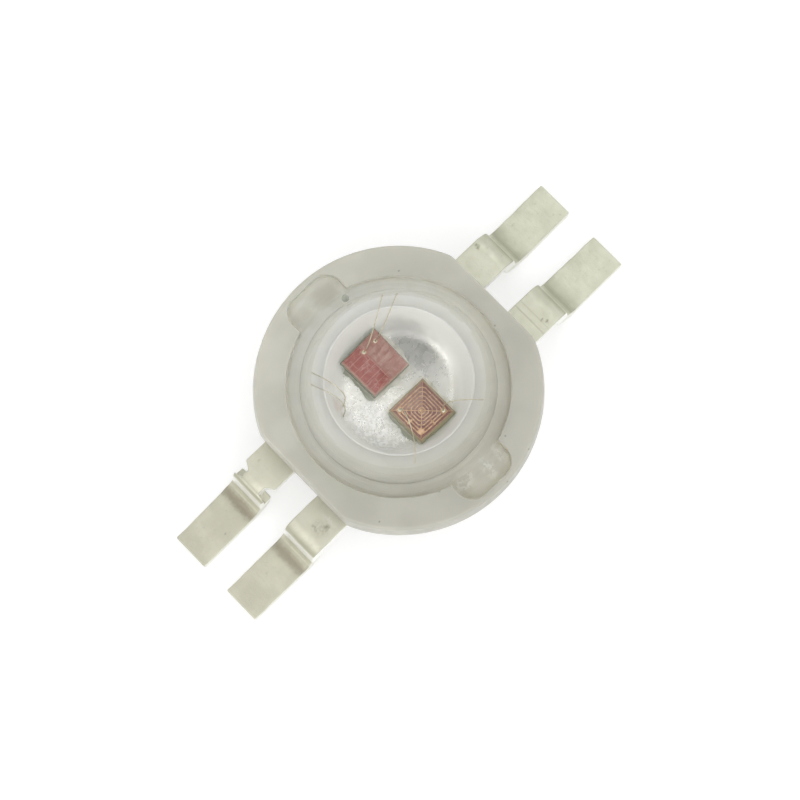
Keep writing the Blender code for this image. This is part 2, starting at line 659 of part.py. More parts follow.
def electrode_extras(number):
    """Outlines of what is joined to an electrode: its bonding pads, and the bars and hub of the web."""
    if number == 1:
        return [[place.xy + corner for corner in square(WEB_STEP)] for place in pad_places(PADS_1)]
    places = pad_places(PADS_2 + [SPARE_PAD_2])
    outlines = [[place.xy + corner for corner in square(WEB_STEP)] for place in places]
    near, far = (WEB_STEP * ring for ring in TICK_RINGS)
    outlines.append(box_outline(-far, -near, -TICK_WIDTH / 2, TICK_WIDTH / 2))
    outlines.append(box_outline(-TICK_WIDTH / 2, TICK_WIDTH / 2, -far, -near))
    turns = [math.tau * (n + 0.5) / 8 for n in range(8)]
    outlines.append([Vector((math.cos(a), math.sin(a))) * HUB_RADIUS for a in turns])
    return outlines


def make_electrode(number, centre, cells, line, material):
    """Thin metal net on a die, with square bonding pads where its wires stand."""
    plate = prism(f"die_{number}_electrode", square(ELECTRODE_HALF), 0.0, ELECTRODE_HEIGHT)
    electrode = painted(plate, material)
    cutter = openings(f"die_{number}_cells", cells, line)
    cutter.location = (centre.x, centre.y, ELECTRODE_BOTTOM)
    combine(electrode, cutter)
    for order, outline in enumerate(electrode_extras(number), 1):
        bottom, top = -BOND_PAD_EXTRA, ELECTRODE_HEIGHT + BOND_PAD_EXTRA
        extra = prism(f"die_{number}_extra_{order}", outline, bottom, top)
        extra.location = (centre.x, centre.y, ELECTRODE_BOTTOM)
        combine(electrode, extra, "UNION")
    electrode.location = (centre.x, centre.y, ELECTRODE_BOTTOM)
    return electrode


# Bond wires

def round_slug(degrees, radius, height):
    """A point at an angle from +X round the slug's axis."""
    angle = math.radians(degrees)
    return SLUG_CENTRE + Vector((radius * math.cos(angle), radius * math.sin(angle), height))


def wire_ends():
    """Start and end of each wire, and its bow: a ball on a pad or the cup floor, a stitch on a post."""
    on_die = Vector((0.0, 0.0, BOND_PAD_TOP + BOND_GAP))
    stitch, on_post, on_floor = POST_RADIUS + STITCH_INSET, POST_TOP + BOND_GAP, CUP_FLOOR + BOND_GAP
    ends = []
    for centre, pads, wires in zip(die_centres(), (PADS_1, PADS_2), (WIRES_1, WIRES_2)):
        for place, (degrees, bow) in zip(pad_places(pads), wires):
            ends.append((centre + place + on_die, round_slug(degrees, stitch, on_post), bow))
    for first, last, inset in GROUND_WIRES:
        start = round_slug(first, CUP_FLOOR_DIAMETER / 2 - inset, on_floor)
        ends.append((start, round_slug(last, stitch, on_post), 0.0))
    return ends


def wire_line(start, end, bow):
    """Points of a loop that leaves its ball straight up and comes down flat on its post."""
    crest = LIP_HEIGHT + LOOP_HEIGHT
    rise = Vector((0.0, 0.0, (crest - start.z) * 1.25))
    sideways = Vector((0.0, 0.0, 1.0)).cross(end - start).normalized()
    lead_in = start.lerp(end, 0.55) + sideways * bow
    handles = [start, start + rise, Vector((lead_in.x, lead_in.y, crest)), end]
    points = []
    for n in range(WIRE_STEPS + 1):
        t = n / WIRE_STEPS
        weights = ((1 - t) ** 3, 3 * t * (1 - t) ** 2, 3 * t * t * (1 - t), t ** 3)
        points.append(sum((h * w for h, w in zip(handles, weights)), Vector()))
    return points


def wire_solid(name, start, end, bow, grow=0.0, sides=WIRE_SIDES):
    """A round wire along its loop, from a flattened ball to a flat stitch."""
    line = wire_line(start, end, bow)
    wire = WIRE_DIAMETER / 2 + grow
    ball = BALL_DIAMETER / 2 + grow
    up = Vector((0.0, 0.0, 1.0))
    across = up.cross(end - start).normalized()
    sections = [(start - up * grow, up, 0.8 * ball, 0.8 * ball)]
    sections += [(start + up * BALL_HEIGHT * share, up, ball, ball) for share in (0.3, 0.7)]
    sections.append((start + up * (BALL_HEIGHT + 0.4 * wire), up, 1.2 * wire, 1.2 * wire))
    for before, here, after in zip(line[1:], line[2:], line[3:]):
        sections.append((here, (after - before).normalized(), wire, wire))
    along = (end - start).normalized()
    flat = Vector((along.x, along.y, 0.0)).normalized()
    stitch, height = STITCH_WIDTH / 2 + grow, STITCH_HEIGHT / 2 + grow
    rest = up * (STITCH_HEIGHT / 2)
    sections[-1] = (line[-2], (line[-1] - line[-3]).normalized(), wire, wire)
    sections.append((end + rest + flat * BALL_HEIGHT, flat, stitch, height))
    sections.append((end + rest + flat * (BALL_HEIGHT + STITCH_WIDTH + grow), flat, 0.8 * stitch, height))
    shape = bmesh.new()
    rings = []
    for middle, way, wide, tall in sections:
        normal = way.cross(across).normalized()
        ring = []
        for n in range(sides):
            angle = math.tau * (n + 0.5) / sides
            offset = across * (wide * math.cos(angle)) + normal * (tall * math.sin(angle))
            ring.append(shape.verts.new(middle + offset))
        rings.append(ring)
    for low, high in zip(rings, rings[1:]):
        for n in range(sides):
            shape.faces.new((low[n - 1], low[n], high[n], high[n - 1]))
    shape.faces.new(rings[0])
    shape.faces.new(rings[-1])
    return finished(shape, name)


def main():
    clear_scene()
    milky = make_material("milky_plastic", (0.52, 0.52, 0.45), 0.45, transmission=0.15)
    silver = make_material("silver_plate", (0.75, 0.75, 0.72), 0.3, metallic=1.0)
    tinned = make_material("tinned_copper", (0.66, 0.66, 0.55), 0.4, metallic=1.0)
    clear = make_material("clear_plastic", (0.95, 0.95, 0.93), 0.03, transmission=1.0)
    soft = make_material("clear_silicone", (0.95, 0.95, 0.93), 0.1, transmission=1.0)
    rose = make_material("rose_die", (0.42, 0.13, 0.12), 0.35)
    brown = make_material("brown_die", (0.3, 0.1, 0.08), 0.35)
    pale_gold = make_material("pale_gold", (0.72, 0.5, 0.42), 0.35, metallic=1.0)
    gold = make_material("gold", (0.83, 0.6, 0.25), 0.3, metallic=1.0)
    paste = make_material("die_paste", (0.2, 0.21, 0.17), 0.6)

    make_housing(milky)
    painted(slug_solid("heat_slug"), silver)
    for key in LEAD_SIDES:
        make_lead(key, tinned)
    make_lens(clear)
    make_fill(soft)
    dice = zip(die_centres(), (rose, brown))
    for number, (centre, material) in enumerate(dice, 1):
        make_die(number, centre, material)
        painted(attach_solid(f"die_attach_{number}", number, centre), paste)
    upper, lower = die_centres()
    make_electrode(1, upper, finger_cells(), FINGER_LINE, pale_gold)
    make_electrode(2, lower, web_cells(), WEB_LINE, gold)
    for number, (start, end, bow) in enumerate(wire_ends(), 1):
        painted(wire_solid(f"bond_wire_{number}", start, end, bow), gold)


main()
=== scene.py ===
"""Looks of the power LED emitter: milky housing, clear dome and fill, silver slug with two chips, four leads.

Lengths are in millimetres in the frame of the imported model, and are scaled to metres as each piece is made.
"""

import math

import bmesh
import bpy
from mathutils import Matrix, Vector, noise


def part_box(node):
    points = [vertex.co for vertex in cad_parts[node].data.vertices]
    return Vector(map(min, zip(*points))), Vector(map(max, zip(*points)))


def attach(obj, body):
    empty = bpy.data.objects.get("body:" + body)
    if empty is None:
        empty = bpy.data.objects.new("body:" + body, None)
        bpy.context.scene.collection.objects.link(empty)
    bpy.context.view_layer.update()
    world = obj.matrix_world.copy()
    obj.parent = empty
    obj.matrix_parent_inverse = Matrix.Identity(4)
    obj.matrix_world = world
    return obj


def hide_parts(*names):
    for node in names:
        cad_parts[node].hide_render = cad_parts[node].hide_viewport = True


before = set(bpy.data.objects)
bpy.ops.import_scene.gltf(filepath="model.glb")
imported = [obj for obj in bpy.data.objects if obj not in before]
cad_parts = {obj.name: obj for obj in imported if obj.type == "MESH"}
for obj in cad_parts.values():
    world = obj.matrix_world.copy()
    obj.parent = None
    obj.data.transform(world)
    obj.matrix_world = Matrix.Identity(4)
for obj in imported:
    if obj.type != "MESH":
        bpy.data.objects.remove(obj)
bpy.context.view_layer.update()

METRE = 0.001                        # metres in a millimetre
MERGE = 0.00001                      # points of one mesh that lie this close are one point
SHARP = math.radians(40)             # edges that turn more than this are drawn sharp


def millimetres(node):
    """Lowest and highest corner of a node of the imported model."""
    low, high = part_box(node)
    return low / METRE, high / METRE


HOUSING_LOW, HOUSING_HIGH = millimetres("housing")
SLUG_LOW, SLUG_HIGH = millimetres("heat_slug")
LENS_HIGH = millimetres("lens")[1]

# Housing
HOUSING_X = (HOUSING_LOW.x + HOUSING_HIGH.x) / 2
BODY_RADIUS = HOUSING_HIGH.y
BODY_TOP = HOUSING_HIGH.z
BODY_BOTTOM = HOUSING_LOW.z
FLAT = HOUSING_HIGH.x - HOUSING_X    # distance of the flats from the housing's middle
FLAT_BLEND = 0.04                    # softens the corner between round side and flat
FLAT_SHARE = 0.4                     # the flats lean in by this share of what the round side does
FLAT_STEP = 0.12                     # how far the lower body's flats stand in from the plate's
PLATE_BOTTOM = BODY_TOP - 1.1
PARTING = BODY_TOP - 0.61
PARTING_BAND = 0.24
PLATE_DRAFT = 0.07
PLATE_ROUND = 0.1
PARTING_ROUND = 0.2
SKIRT_STEP = 0.3                     # how far the lower body stands in from the plate
SKIRT_ROUND = 0.05
STEP_ROUND = 0.03
SKIRT_CHAMFER = 0.15
CLEARANCE = 0.08                     # between flange or ear and the wall of its pocket
FLANGE_RADIUS = LENS_HIGH.x - HOUSING_X
POCKET_RADIUS = FLANGE_RADIUS + CLEARANCE
POCKET_FLOOR = BODY_TOP - 0.3
POCKET_ROUND = 0.035
EAR_HALF = 0.8                       # half the width of an ear
EAR_REACH = LENS_HIGH.y
EAR_CORNER = 0.4
EAR_BLEND = 0.03                     # softens the corner between flange and ear
WELL_RADIUS = 2.6
WELL_FLOOR = 2.29                    # a skin of plastic covers the bonding posts of the leads
WELL_DRAFT = 0.06

# Slug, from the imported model's box
SLUG_X, SLUG_Y = (SLUG_LOW.x + SLUG_HIGH.x) / 2, (SLUG_LOW.y + SLUG_HIGH.y) / 2
PAD_RADIUS = (SLUG_HIGH.x - SLUG_LOW.x) / 2
PAD_TOP = 0.55
PAD_ROUNDS = (0.05, 0.03)            # at its foot and at its top
GROOVE_TOP, GROOVE_DEPTH = 0.7, 0.25
LOCK_TOP, LOCK_DEPTH = 0.9, 0.1      # the ring over the groove, and how far it stands in from the pad
LIP_TOP = SLUG_HIGH.z
SLUG_GAP = 0.015
STEM_RADIUS = 1.48
RIM_RADIUS = 1.34
CUP_RADIUS = 1.0
CUP_FLOOR = LIP_TOP - 0.52
CUP_FILLET = 0.35
LIP_WIDTH = 0.02                     # the rest of the lip slopes down under the skin of plastic
LIP_DROP = 0.16
LIP_ROUND = 0.007

# Optic: lens and fill seen as one clear body
DOME_RADIUS = 2.634
DOME_CENTRE = LENS_HIGH.z - DOME_RADIUS
FLANGE_TOP = 3.02
FLANGE_SLOPE = 0.16                  # how far in the flange's edge slopes to its top
FLANGE_ROUND = 0.08
BEAD_RADIUS = 2.79                   # a low step on the flange, round the foot of the dome
BEAD_SLOPE = 0.04
BEAD_RISE = 0.02
BEAD_ROUND = 0.03
FOOT_FILLET = 0.12
FOOT_TURN = 0.085                    # radians of the dome that the fillet at its foot takes up
DOME_STEPS = 56
EAR_TOP = 2.865
EAR_EDGE = (0.02, 0.12)              # how far in an ear's edge stands at the fill's top and at its own
EAR_ROOT = (0.04, 0.26)              # from the flange's edge, and in from the ear's, where the two meet
FILL_TOP = 2.845                     # clear fill stands this high in the gap round flange and ears
OPTIC_BOTTOM = 1.70                  # inside the slug and the housing, so that it isn't seen
OPTIC_FOOT = 2.62                    # radius at the well's wall, just inside the plastic
OPTIC_IOR = 1.43
HOLE_RADIUS = 0.10                   # fill hole in the flange, and where it lies
HOLE_DISTANCE = 2.81
HOLE_ANGLE = math.radians(77)

# Leads
LEAD_THICK = 0.4
LEAD_TIP = millimetres("lead_a")[1].x
LEG_FACE = 4.95                      # distance of a leg's outer face, at its top
LEG_SLANT = 0.12
SHOULDER_RADIUS = 0.12               # inside radii of the two bends
ANKLE_RADIUS = 0.45
EXIT_Z = 1.35
JOGGLE_START, JOGGLE_END = 2.45, 2.85
JOGGLE_RADIUS = 0.12
POST_TOP = 2.22
POST_INNER = 0.9
POST_CUT = 1.60                      # radius round the slug that the posts keep clear of
POST_END = 2.2                       # the cut-back inner end is evened out up to here
EDGE_ROUND = 0.045
PLAN_SHRINK = 0.3                    # the ends are rounded less at their sides than above and below
SIDE_STEPS = 10                      # points across the thickness of a lead
STATION = 0.025                      # distance between two sections along a lead
WOBBLE = 0.012                       # how far the stamped edges wander
# Distances of a lead's outer and inner edge from the X axis, near the housing and at the tip
LEAD_EDGES = {
    "a": ((1.65, 0.50), (1.68, 0.53)),
    "b": ((1.61, 0.44), (1.59, 0.45)),
    "c": ((1.63, 0.46), (1.57, 0.43)),
    "d": ((1.63, 0.46), (1.63, 0.485)),
}
NOTCHED_LEAD = "c"
NOTCH_START, NOTCH_END = 4.38, 4.84
NOTCH_RAMP = 0.2
NOTCH_STEP = 0.02                    # half the run of the notches' steep end
NOTCH_DEPTH = 0.24
NOTCH_FOOT = 0.95                    # height at which the notches end on the leg

# Colours
# Plastic painted darker towards -Y and lighter towards +Y, a painted light and shade, and the same painted
# paler where the clear optic covers it and shades it
MILKY = (((0.455, 0.447, 0.39), (0.50, 0.492, 0.43)), ((0.54, 0.533, 0.463), (0.60, 0.592, 0.518)))
MILKY_STAIN_AND_SHADE = (0.42, 0.43, 0.34)
# painted shade: a darker greenish patch over the -X flat, where the leads inside shade the plastic
RIM_PATCH = ((-3.05, -0.3, BODY_TOP), (0.28, 1.1, 0.3))
# painted light: the same plastic under the clear optic, painted paler against the shade the optic casts
UNDER_OPTIC_LIT = (((0.755, 0.737, 0.63), (0.795, 0.777, 0.675)), ((0.94, 0.937, 0.857), (0.965, 0.962, 0.895)))
# rings under the optic, a brownish darker tone by the ears, and the pale colour of painted glints
WET_RING, EAR_BROWN_TONE, EAR_GLINT = (0.85, 0.84, 0.75), (0.62, 0.595, 0.48), (0.99, 0.985, 0.90)
SPECK, SPECK_SIZE = (0.16, 0.15, 0.10), (0.028, 0.022, 0.1)
RIM_SPECKS = (
    (1.22, -3.70), (0.18, -3.93), (-0.96, -2.95), (-1.33, -2.84), (1.01, -3.0), (2.95, -0.63), (2.14, 2.30),
    (-3.06, -2.30),
)
# Brownish darker patches, and pale marks that are painted glints, under the ears and the flange: place, size,
# share and tint
EAR_TONES_AND_GLINTS = (
    ((0.28, 3.25), (0.42, 0.30), 0.6, EAR_BROWN_TONE),
    ((-0.55, 3.1), (0.2, 0.3), 0.3, EAR_BROWN_TONE),
    ((0.1, -3.35), (0.45, 0.25), 0.15, EAR_BROWN_TONE),
    # painted glints: pale marks on the ear towards -Y
    ((0.10, -3.30), (0.13, 0.30), 0.9, EAR_GLINT),
    ((-0.60, -3.10), (0.30, 0.16), 0.8, EAR_GLINT),
    ((0.55, -3.20), (0.10, 0.28), 0.6, EAR_GLINT),
)
CLEAR = (0.985, 0.985, 0.97)
PLUG = ((0.36, 0.38, 0.31), (0.48, 0.50, 0.42))
SILVER = ((0.90, 0.89, 0.82), (0.945, 0.945, 0.90))
# a darker spot tint, and the wall's colour, painted paler as painted light against its shade
SILVER_SPOT, SILVER_WALL = (0.62, 0.62, 0.54), (0.96, 0.96, 0.92)
# A painted dark reflection of the camera, a pink tint and painted shade on the lower wall, in the cup: place,
# size, share and tint. Then a frosted patch whose speckled colour is painted glints
CUP_TINT_AND_PAINTED_LIGHT = (
    # painted reflection: the dark camera seen in the cup's floor
    ((0.66, 0.48, 1.8), (0.30, 0.48, 0.4), 0.85, (0.50, 0.50, 0.475)),
    ((-0.98, 0.59, 1.85), (0.13, 0.13, 0.2), 0.5, (0.80, 0.62, 0.54)),
    # painted shade on the lower side of the cup's wall
    ((-0.96, -0.42, 2.0), (0.22, 0.34, 0.4), 0.6, (0.70, 0.72, 0.69)),
)
CUP_FROST_AND_GLINTS = ((-0.80, -0.14, 1.8), (0.54, 0.70, 0.3))
# painted glints: the dark and white speckles of the frosted patch
GLINT_FLECKS = ((0.78, 0.78, 0.745), (1.0, 1.0, 0.975))
# Chips: base colours, haze, scuffs, worn border and sides
ROSE = ((0.38, 0.105, 0.09), (0.44, 0.14, 0.12))
ROSE_HAZE = ((0.42, 0.21, 0.175), (0.50, 0.30, 0.255))
ROSE_SCUFF, ROSE_BORDER, ROSE_SIDE = (0.62, 0.45, 0.39), (0.60, 0.46, 0.38), (0.20, 0.22, 0.15)
BROWN = ((0.25, 0.105, 0.095), (0.32, 0.15, 0.125))
BROWN_HAZE = (0.42, 0.26, 0.215)
BROWN_SCUFF, BROWN_BORDER, BROWN_SIDE = (0.55, 0.40, 0.33), (0.47, 0.41, 0.25), (0.36, 0.34, 0.19)
PALE_NET = ((0.52, 0.26, 0.22), (0.62, 0.38, 0.32))
GOLD_NET = ((0.55, 0.33, 0.20), (0.725, 0.505, 0.325))
WIRE_GOLD = ((0.74, 0.69, 0.52), (0.86, 0.82, 0.66))
# paste colours, and the grey-green of painted shade and reflection on its -X fringe
PASTE, PASTE_SHADE = ((0.84, 0.82, 0.74), (0.50, 0.52, 0.43)), (0.30, 0.33, 0.24)
# Darker and lighter colour of the right and the left leads, the right ones painted lighter as painted light
# from their side, and how much paler they are painted near the housing against its shade
LEAD_COLOURS = {
    1: ((0.61, 0.62, 0.49), (0.67, 0.68, 0.55), 0.33),
    -1: ((0.58, 0.57, 0.455), (0.64, 0.63, 0.505), 0.5),
}
# painted light: the leads' colour near the housing, paler against its shade
NEAR_LIT = (0.80, 0.79, 0.67)
# grime, and the tint of painted shade in the lower bend and on the shoulder
GRIME_AND_SHADE = (0.34, 0.34, 0.24)
SCORE = (0.42, 0.40, 0.30)
# painted highlight: the near white of steep faces above the foot, the leg's strip among them
BRIGHT_LEG = (0.97, 0.97, 0.93)
# painted light: the sheared sides, bare metal, painted paler against their shade
LIT_CUT_EDGE = (0.88, 0.88, 0.81)        # bare metal where the strip was sheared
# Stains, specks and score lines on each lead, and painted shade in the lower bend of c and d: place, size,
# share and tint
LEAD_SPOTS = {
    "a": (((4.42, 1.50, 1.55), (0.06, 0.09, 0.1), 0.7, (0.20, 0.21, 0.10)),
          ((3.68, 1.08, 1.55), (0.02, 0.7, 0.1), 0.3, SCORE)),
    "b": (((4.32, -1.38, 1.55), (0.06, 0.05, 0.1), 0.7, (0.20, 0.15, 0.10)),
          ((4.24, -1.27, 1.55), (0.03, 0.03, 0.1), 0.7, (0.20, 0.15, 0.10)),
          ((4.0, -1.0, 1.55), (0.022, 0.8, 0.1), 0.45, SCORE),
          ((4.2, -1.0, 1.55), (0.018, 0.8, 0.1), 0.3, SCORE)),
    "c": (((-4.15, 1.35, 1.55), (0.05, 0.04, 0.1), 0.4, SCORE),
          # painted shade in the lower bend
          ((-5.35, 1.0, 0.45), (0.14, 0.8, 0.3), 0.6, (0.26, 0.21, 0.16)),
          ((-6.2, 0.7, 0.4), (0.04, 0.03, 0.1), 0.5, SPECK)),
    "d": (((-4.28, -1.18, 1.55), (0.20, 0.24, 0.1), 0.45, (0.38, 0.35, 0.27)),
          ((-4.14, -1.28, 1.55), (0.11, 0.07, 0.1), 0.55, (0.22, 0.19, 0.13)),
          ((-4.36, -1.05, 1.55), (0.06, 0.10, 0.1), 0.45, (0.28, 0.26, 0.19)),
          ((-3.93, -1.2, 1.55), (0.06, 0.24, 0.1), 0.6, (0.88, 0.88, 0.80)),
          # painted shade in the lower bend
          ((-5.4, -1.0, 0.45), (0.16, 0.8, 0.3), 0.55, (0.27, 0.22, 0.17))),
}

# Light: the sky by the height of its direction, and lamps by their place in the picture and their size
SKY_LOW = (0.0, 0.35, 0.8, 0.5)      # from one height to another, and the strength at each
SKY_HIGH = (0.5, 0.95, 0.0, 0.65)    # the same, added overhead
LAMPS = (
    {"way": (24, 30), "core": 10, "edge": 25, "strength": 0.5},
    {"way": (64, 62), "core": 8, "edge": 18, "strength": 1.0},
    {"way": (225, 35), "core": 10, "edge": 28, "strength": 1.4},
    {"way": (262, 30), "core": 10, "edge": 26, "strength": 0.9},
    {"way": (315, 42), "core": 10, "edge": 28, "strength": 0.9},
)
DARK_CAMERA = {"way": (207, 80), "core": 10, "edge": 20, "strength": 0.1}
FLOOR_RADIUS = 400.0
FLOOR_SHADE, FLOOR_GLOW = 0.55, 0.55 # of the floor as the camera sees it, which softens its shadow
PAPER = ((0.89, 0.89, 0.89), (0.91, 0.91, 0.91))

# Bond wires
WIRE_COUNT = 6
WIRE_SLIM = 0.008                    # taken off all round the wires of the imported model

# Camera
FOV = math.radians(20.75)
DISTANCE = 60.0
TILT = math.radians(10.0)
TURN = math.radians(44.2)            # of +X from the picture's right edge, upwards
AIM_Z = 2.24
PIXEL = 0.02747                      # millimetres in a pixel at the housing's widest level
AIM_PIXEL = (398.7, 389.9)           # where the housing's middle lies in the picture
PICTURE = 800


# Shapes

def fillet(corners):
    """Points along (a, b, radius) corners, each with a radius turned into an arc."""
    points = []
    for n, (a, b, radius) in enumerate(corners):
        here = Vector((a, b))
        if radius <= 0:
            points.append(here)
            continue
        before = (Vector(corners[n - 1][:2]) - here).normalized()
        after = (Vector(corners[(n + 1) % len(corners)][:2]) - here).normalized()
        half = before.angle(after) / 2
        middle = here + (before + after).normalized() * (radius / math.sin(half))
        start = here + before * (radius / math.tan(half)) - middle
        end = here + after * (radius / math.tan(half)) - middle
        steps = max(4, round(math.degrees(math.pi - 2 * half) / 9))
        for k in range(steps + 1):
            points.append(middle + start.lerp(end, k / steps).normalized() * radius)
    return points


def loft(name, rings, look, round_trip=False):
    """A closed skin over rings of points. A ring of one point closes it, and other ends get a flat face."""
    shape = bmesh.new()
    made = [[shape.verts.new(point) for point in ring] for ring in rings]
    pairs = list(zip(made, made[1:]))
    if round_trip:
        pairs.append((made[-1], made[0]))
    for low, high in pairs:
        for n in range(max(len(low), len(high))):
            corners = [low[n % len(low)], low[(n + 1) % len(low)]]
            corners += [high[(n + 1) % len(high)], high[n % len(high)]]
            shape.faces.new(list(dict.fromkeys(corners)))
    for ring in (made[0], made[-1]):
        if len(ring) > 1 and not round_trip:
            shape.faces.new(ring)
    return piece(name, shape, look)


def piece(name, shape, look):
    """The finished mesh as an object of the part, with its material."""
    bmesh.ops.remove_doubles(shape, verts=shape.verts, dist=MERGE)
    bmesh.ops.recalc_face_normals(shape, faces=shape.faces)
    bmesh.ops.scale(shape, vec=(METRE, METRE, METRE), verts=shape.verts)
    mesh = bpy.data.meshes.new(name)
    shape.to_mesh(mesh)
    shape.free()
    mesh.shade_smooth()
    mesh.set_sharp_from_angle(angle=SHARP)
    mesh.materials.append(look)
    made = bpy.data.objects.new(name, mesh)
    bpy.context.scene.collection.objects.link(made)
    return made


def lathe(name, profile, look, segments, centre):
    """A turned body from (radius, height) points that start and end on its axis."""
    turns = [math.tau * n / segments for n in range(segments)]
    rings = []
    for r, z in profile:
        around = turns if r > 0 else [0.0]
        rings.append([Vector((centre[0] + r * math.cos(a), centre[1] + r * math.sin(a), z)) for a in around])
    return loft(name, rings, look)


def smooth_least(a, b, blend):
    """The lesser of two values, rounded where they are nearly the same."""
    return (a + b - math.sqrt((a - b) ** 2 + blend * blend)) / 2


def body_radius(angle, inset, skirt):
    """Outline of the round housing with its two flats, drawn in by inset."""
    flat = FLAT - (FLAT_STEP if skirt else 0.0) - FLAT_SHARE * inset
    across = abs(math.cos(angle))
    circle = BODY_RADIUS - inset
    return smooth_least(circle, flat / max(across, 0.2), FLAT_BLEND)


def ear_radius(angle, grow):
    """Outline of the nearer ear's pocket or of the ear, as a distance from the middle."""
    off = abs(abs((angle % math.tau) - math.pi) - math.pi / 2)
    half, reach, corner = EAR_HALF + grow, EAR_REACH + grow, EAR_CORNER + grow
    if off < math.atan2(half - corner, reach):
        return reach / math.cos(off)
    if off > math.atan2(half, reach - corner):
        return half / math.sin(off)
    x, y = half - corner, reach - corner
    along = x * math.sin(off) + y * math.cos(off)
    return along + math.sqrt(corner ** 2 - (x * x + y * y - along ** 2))


def pocket_radius(angle, grow):
    """Outline of the flange's pocket with its two ears, widened by grow."""
    ear = ear_radius(angle, CLEARANCE + grow)
    return -smooth_least(-(POCKET_RADIUS + grow), -ear, EAR_BLEND)


def outline_angles():
    """Angles round the housing, closer together where its outline or its pocket's turns fast."""
    angles = {float(n) for n in range(360)}
    corner = round(math.degrees(math.acos(FLAT / BODY_RADIUS)))
    for middle in (corner, 180 - corner, 180 + corner, 360 - corner):
        angles.update(middle + 0.25 * n for n in range(-12, 13))
    for middle in (90, 270):
        for side in (1, -1):
            angles.update(round(middle + side * (6 + 0.2 * n), 3) for n in range(60))
    return [math.radians(a) for a in sorted(angles)]


OUTLINE = outline_angles()


def ring(radius, z):
    """Points round the housing's axis, at a distance that depends on the angle."""
    return [Vector((HOUSING_X + radius(a) * math.cos(a), radius(a) * math.sin(a), z)) for a in OUTLINE]


def bore(r, z):
    """Points of a circle round the slug's axis, at the angles of the housing's outline."""
    centre = Vector((SLUG_X - HOUSING_X, SLUG_Y))
    points = []
    for a in OUTLINE:
        way = Vector((math.cos(a), math.sin(a)))
        along = way.dot(centre)
        reach = along + math.sqrt(r * r - centre.length_squared + along ** 2)
        points.append(Vector((HOUSING_X + way.x * reach, way.y * reach, z)))
    return points


def housing_rings():
    """From the slug's seat outwards, up the side, over the top and down through pocket and well."""
    pad, lock, groove = (PAD_RADIUS - depth + SLUG_GAP for depth in (0.0, LOCK_DEPTH, GROOVE_DEPTH))
    stem = STEM_RADIUS + SLUG_GAP
    rings = [bore(r, z) for r, z in (
        (RIM_RADIUS + LIP_WIDTH, WELL_FLOOR),
        (stem, LIP_TOP - LIP_DROP),
        (stem, LOCK_TOP + SLUG_GAP),
        (lock, LOCK_TOP + SLUG_GAP),
        (lock, GROOVE_TOP - SLUG_GAP),
        (groove, GROOVE_TOP - SLUG_GAP),
        (groove, PAD_TOP + SLUG_GAP),
        (pad, PAD_TOP + SLUG_GAP),
        (pad, BODY_BOTTOM),
    )]
    skirt = fillet([
        (SKIRT_STEP + SKIRT_CHAMFER, BODY_BOTTOM, 0.0),
        (SKIRT_STEP, BODY_BOTTOM + SKIRT_CHAMFER, SKIRT_ROUND),
        (SKIRT_STEP, PLATE_BOTTOM, STEP_ROUND),
        (PLATE_DRAFT, PLATE_BOTTOM, STEP_ROUND),
        (0.0, PARTING - PARTING_BAND / 2, PARTING_ROUND),
        (0.0, PARTING + PARTING_BAND / 2, PARTING_ROUND),
        (PLATE_DRAFT, BODY_TOP, PLATE_ROUND),
        (2.0, BODY_TOP, 0.0),
    ])[:-1]
    for inset, z in skirt:
        lower = z < PLATE_BOTTOM + 0.001 and inset > SKIRT_STEP - 1.5 * STEP_ROUND
        rings.append(ring(lambda a: body_radius(a, inset, lower), z))
    pocket = fillet([
        (0.3, BODY_TOP, 0.0),
        (0.0, BODY_TOP, POCKET_ROUND),
        (0.0, POCKET_FLOOR, 0.0),
    ])[1:]
    for grow, z in pocket:
        rings.append(ring(lambda a: pocket_radius(a, grow), z))
    rings.append(ring(lambda a: WELL_RADIUS + WELL_DRAFT, POCKET_FLOOR))
    rings.append(ring(lambda a: WELL_RADIUS, WELL_FLOOR))
    return rings


def slug_profile():
    """From the middle of the thermal pad, out and up the side and over the lip into the cup."""
    return fillet([
        (0.0, 0.0, 0.0),
        (PAD_RADIUS, 0.0, PAD_ROUNDS[0]),
        (PAD_RADIUS, PAD_TOP, PAD_ROUNDS[1]),
        (PAD_RADIUS - GROOVE_DEPTH, PAD_TOP, 0.0),
        (PAD_RADIUS - GROOVE_DEPTH, GROOVE_TOP, 0.0),
        (PAD_RADIUS - LOCK_DEPTH, GROOVE_TOP, 0.0),
        (PAD_RADIUS - LOCK_DEPTH, LOCK_TOP, 0.0),
        (STEM_RADIUS, LOCK_TOP, 0.0),
        (STEM_RADIUS, LIP_TOP - LIP_DROP, 0.0),
        (RIM_RADIUS + LIP_WIDTH, LIP_TOP, LIP_ROUND),
        (RIM_RADIUS, LIP_TOP, LIP_ROUND),
        (CUP_RADIUS, CUP_FLOOR, CUP_FILLET),
        (0.0, CUP_FLOOR, 0.0),
    ])


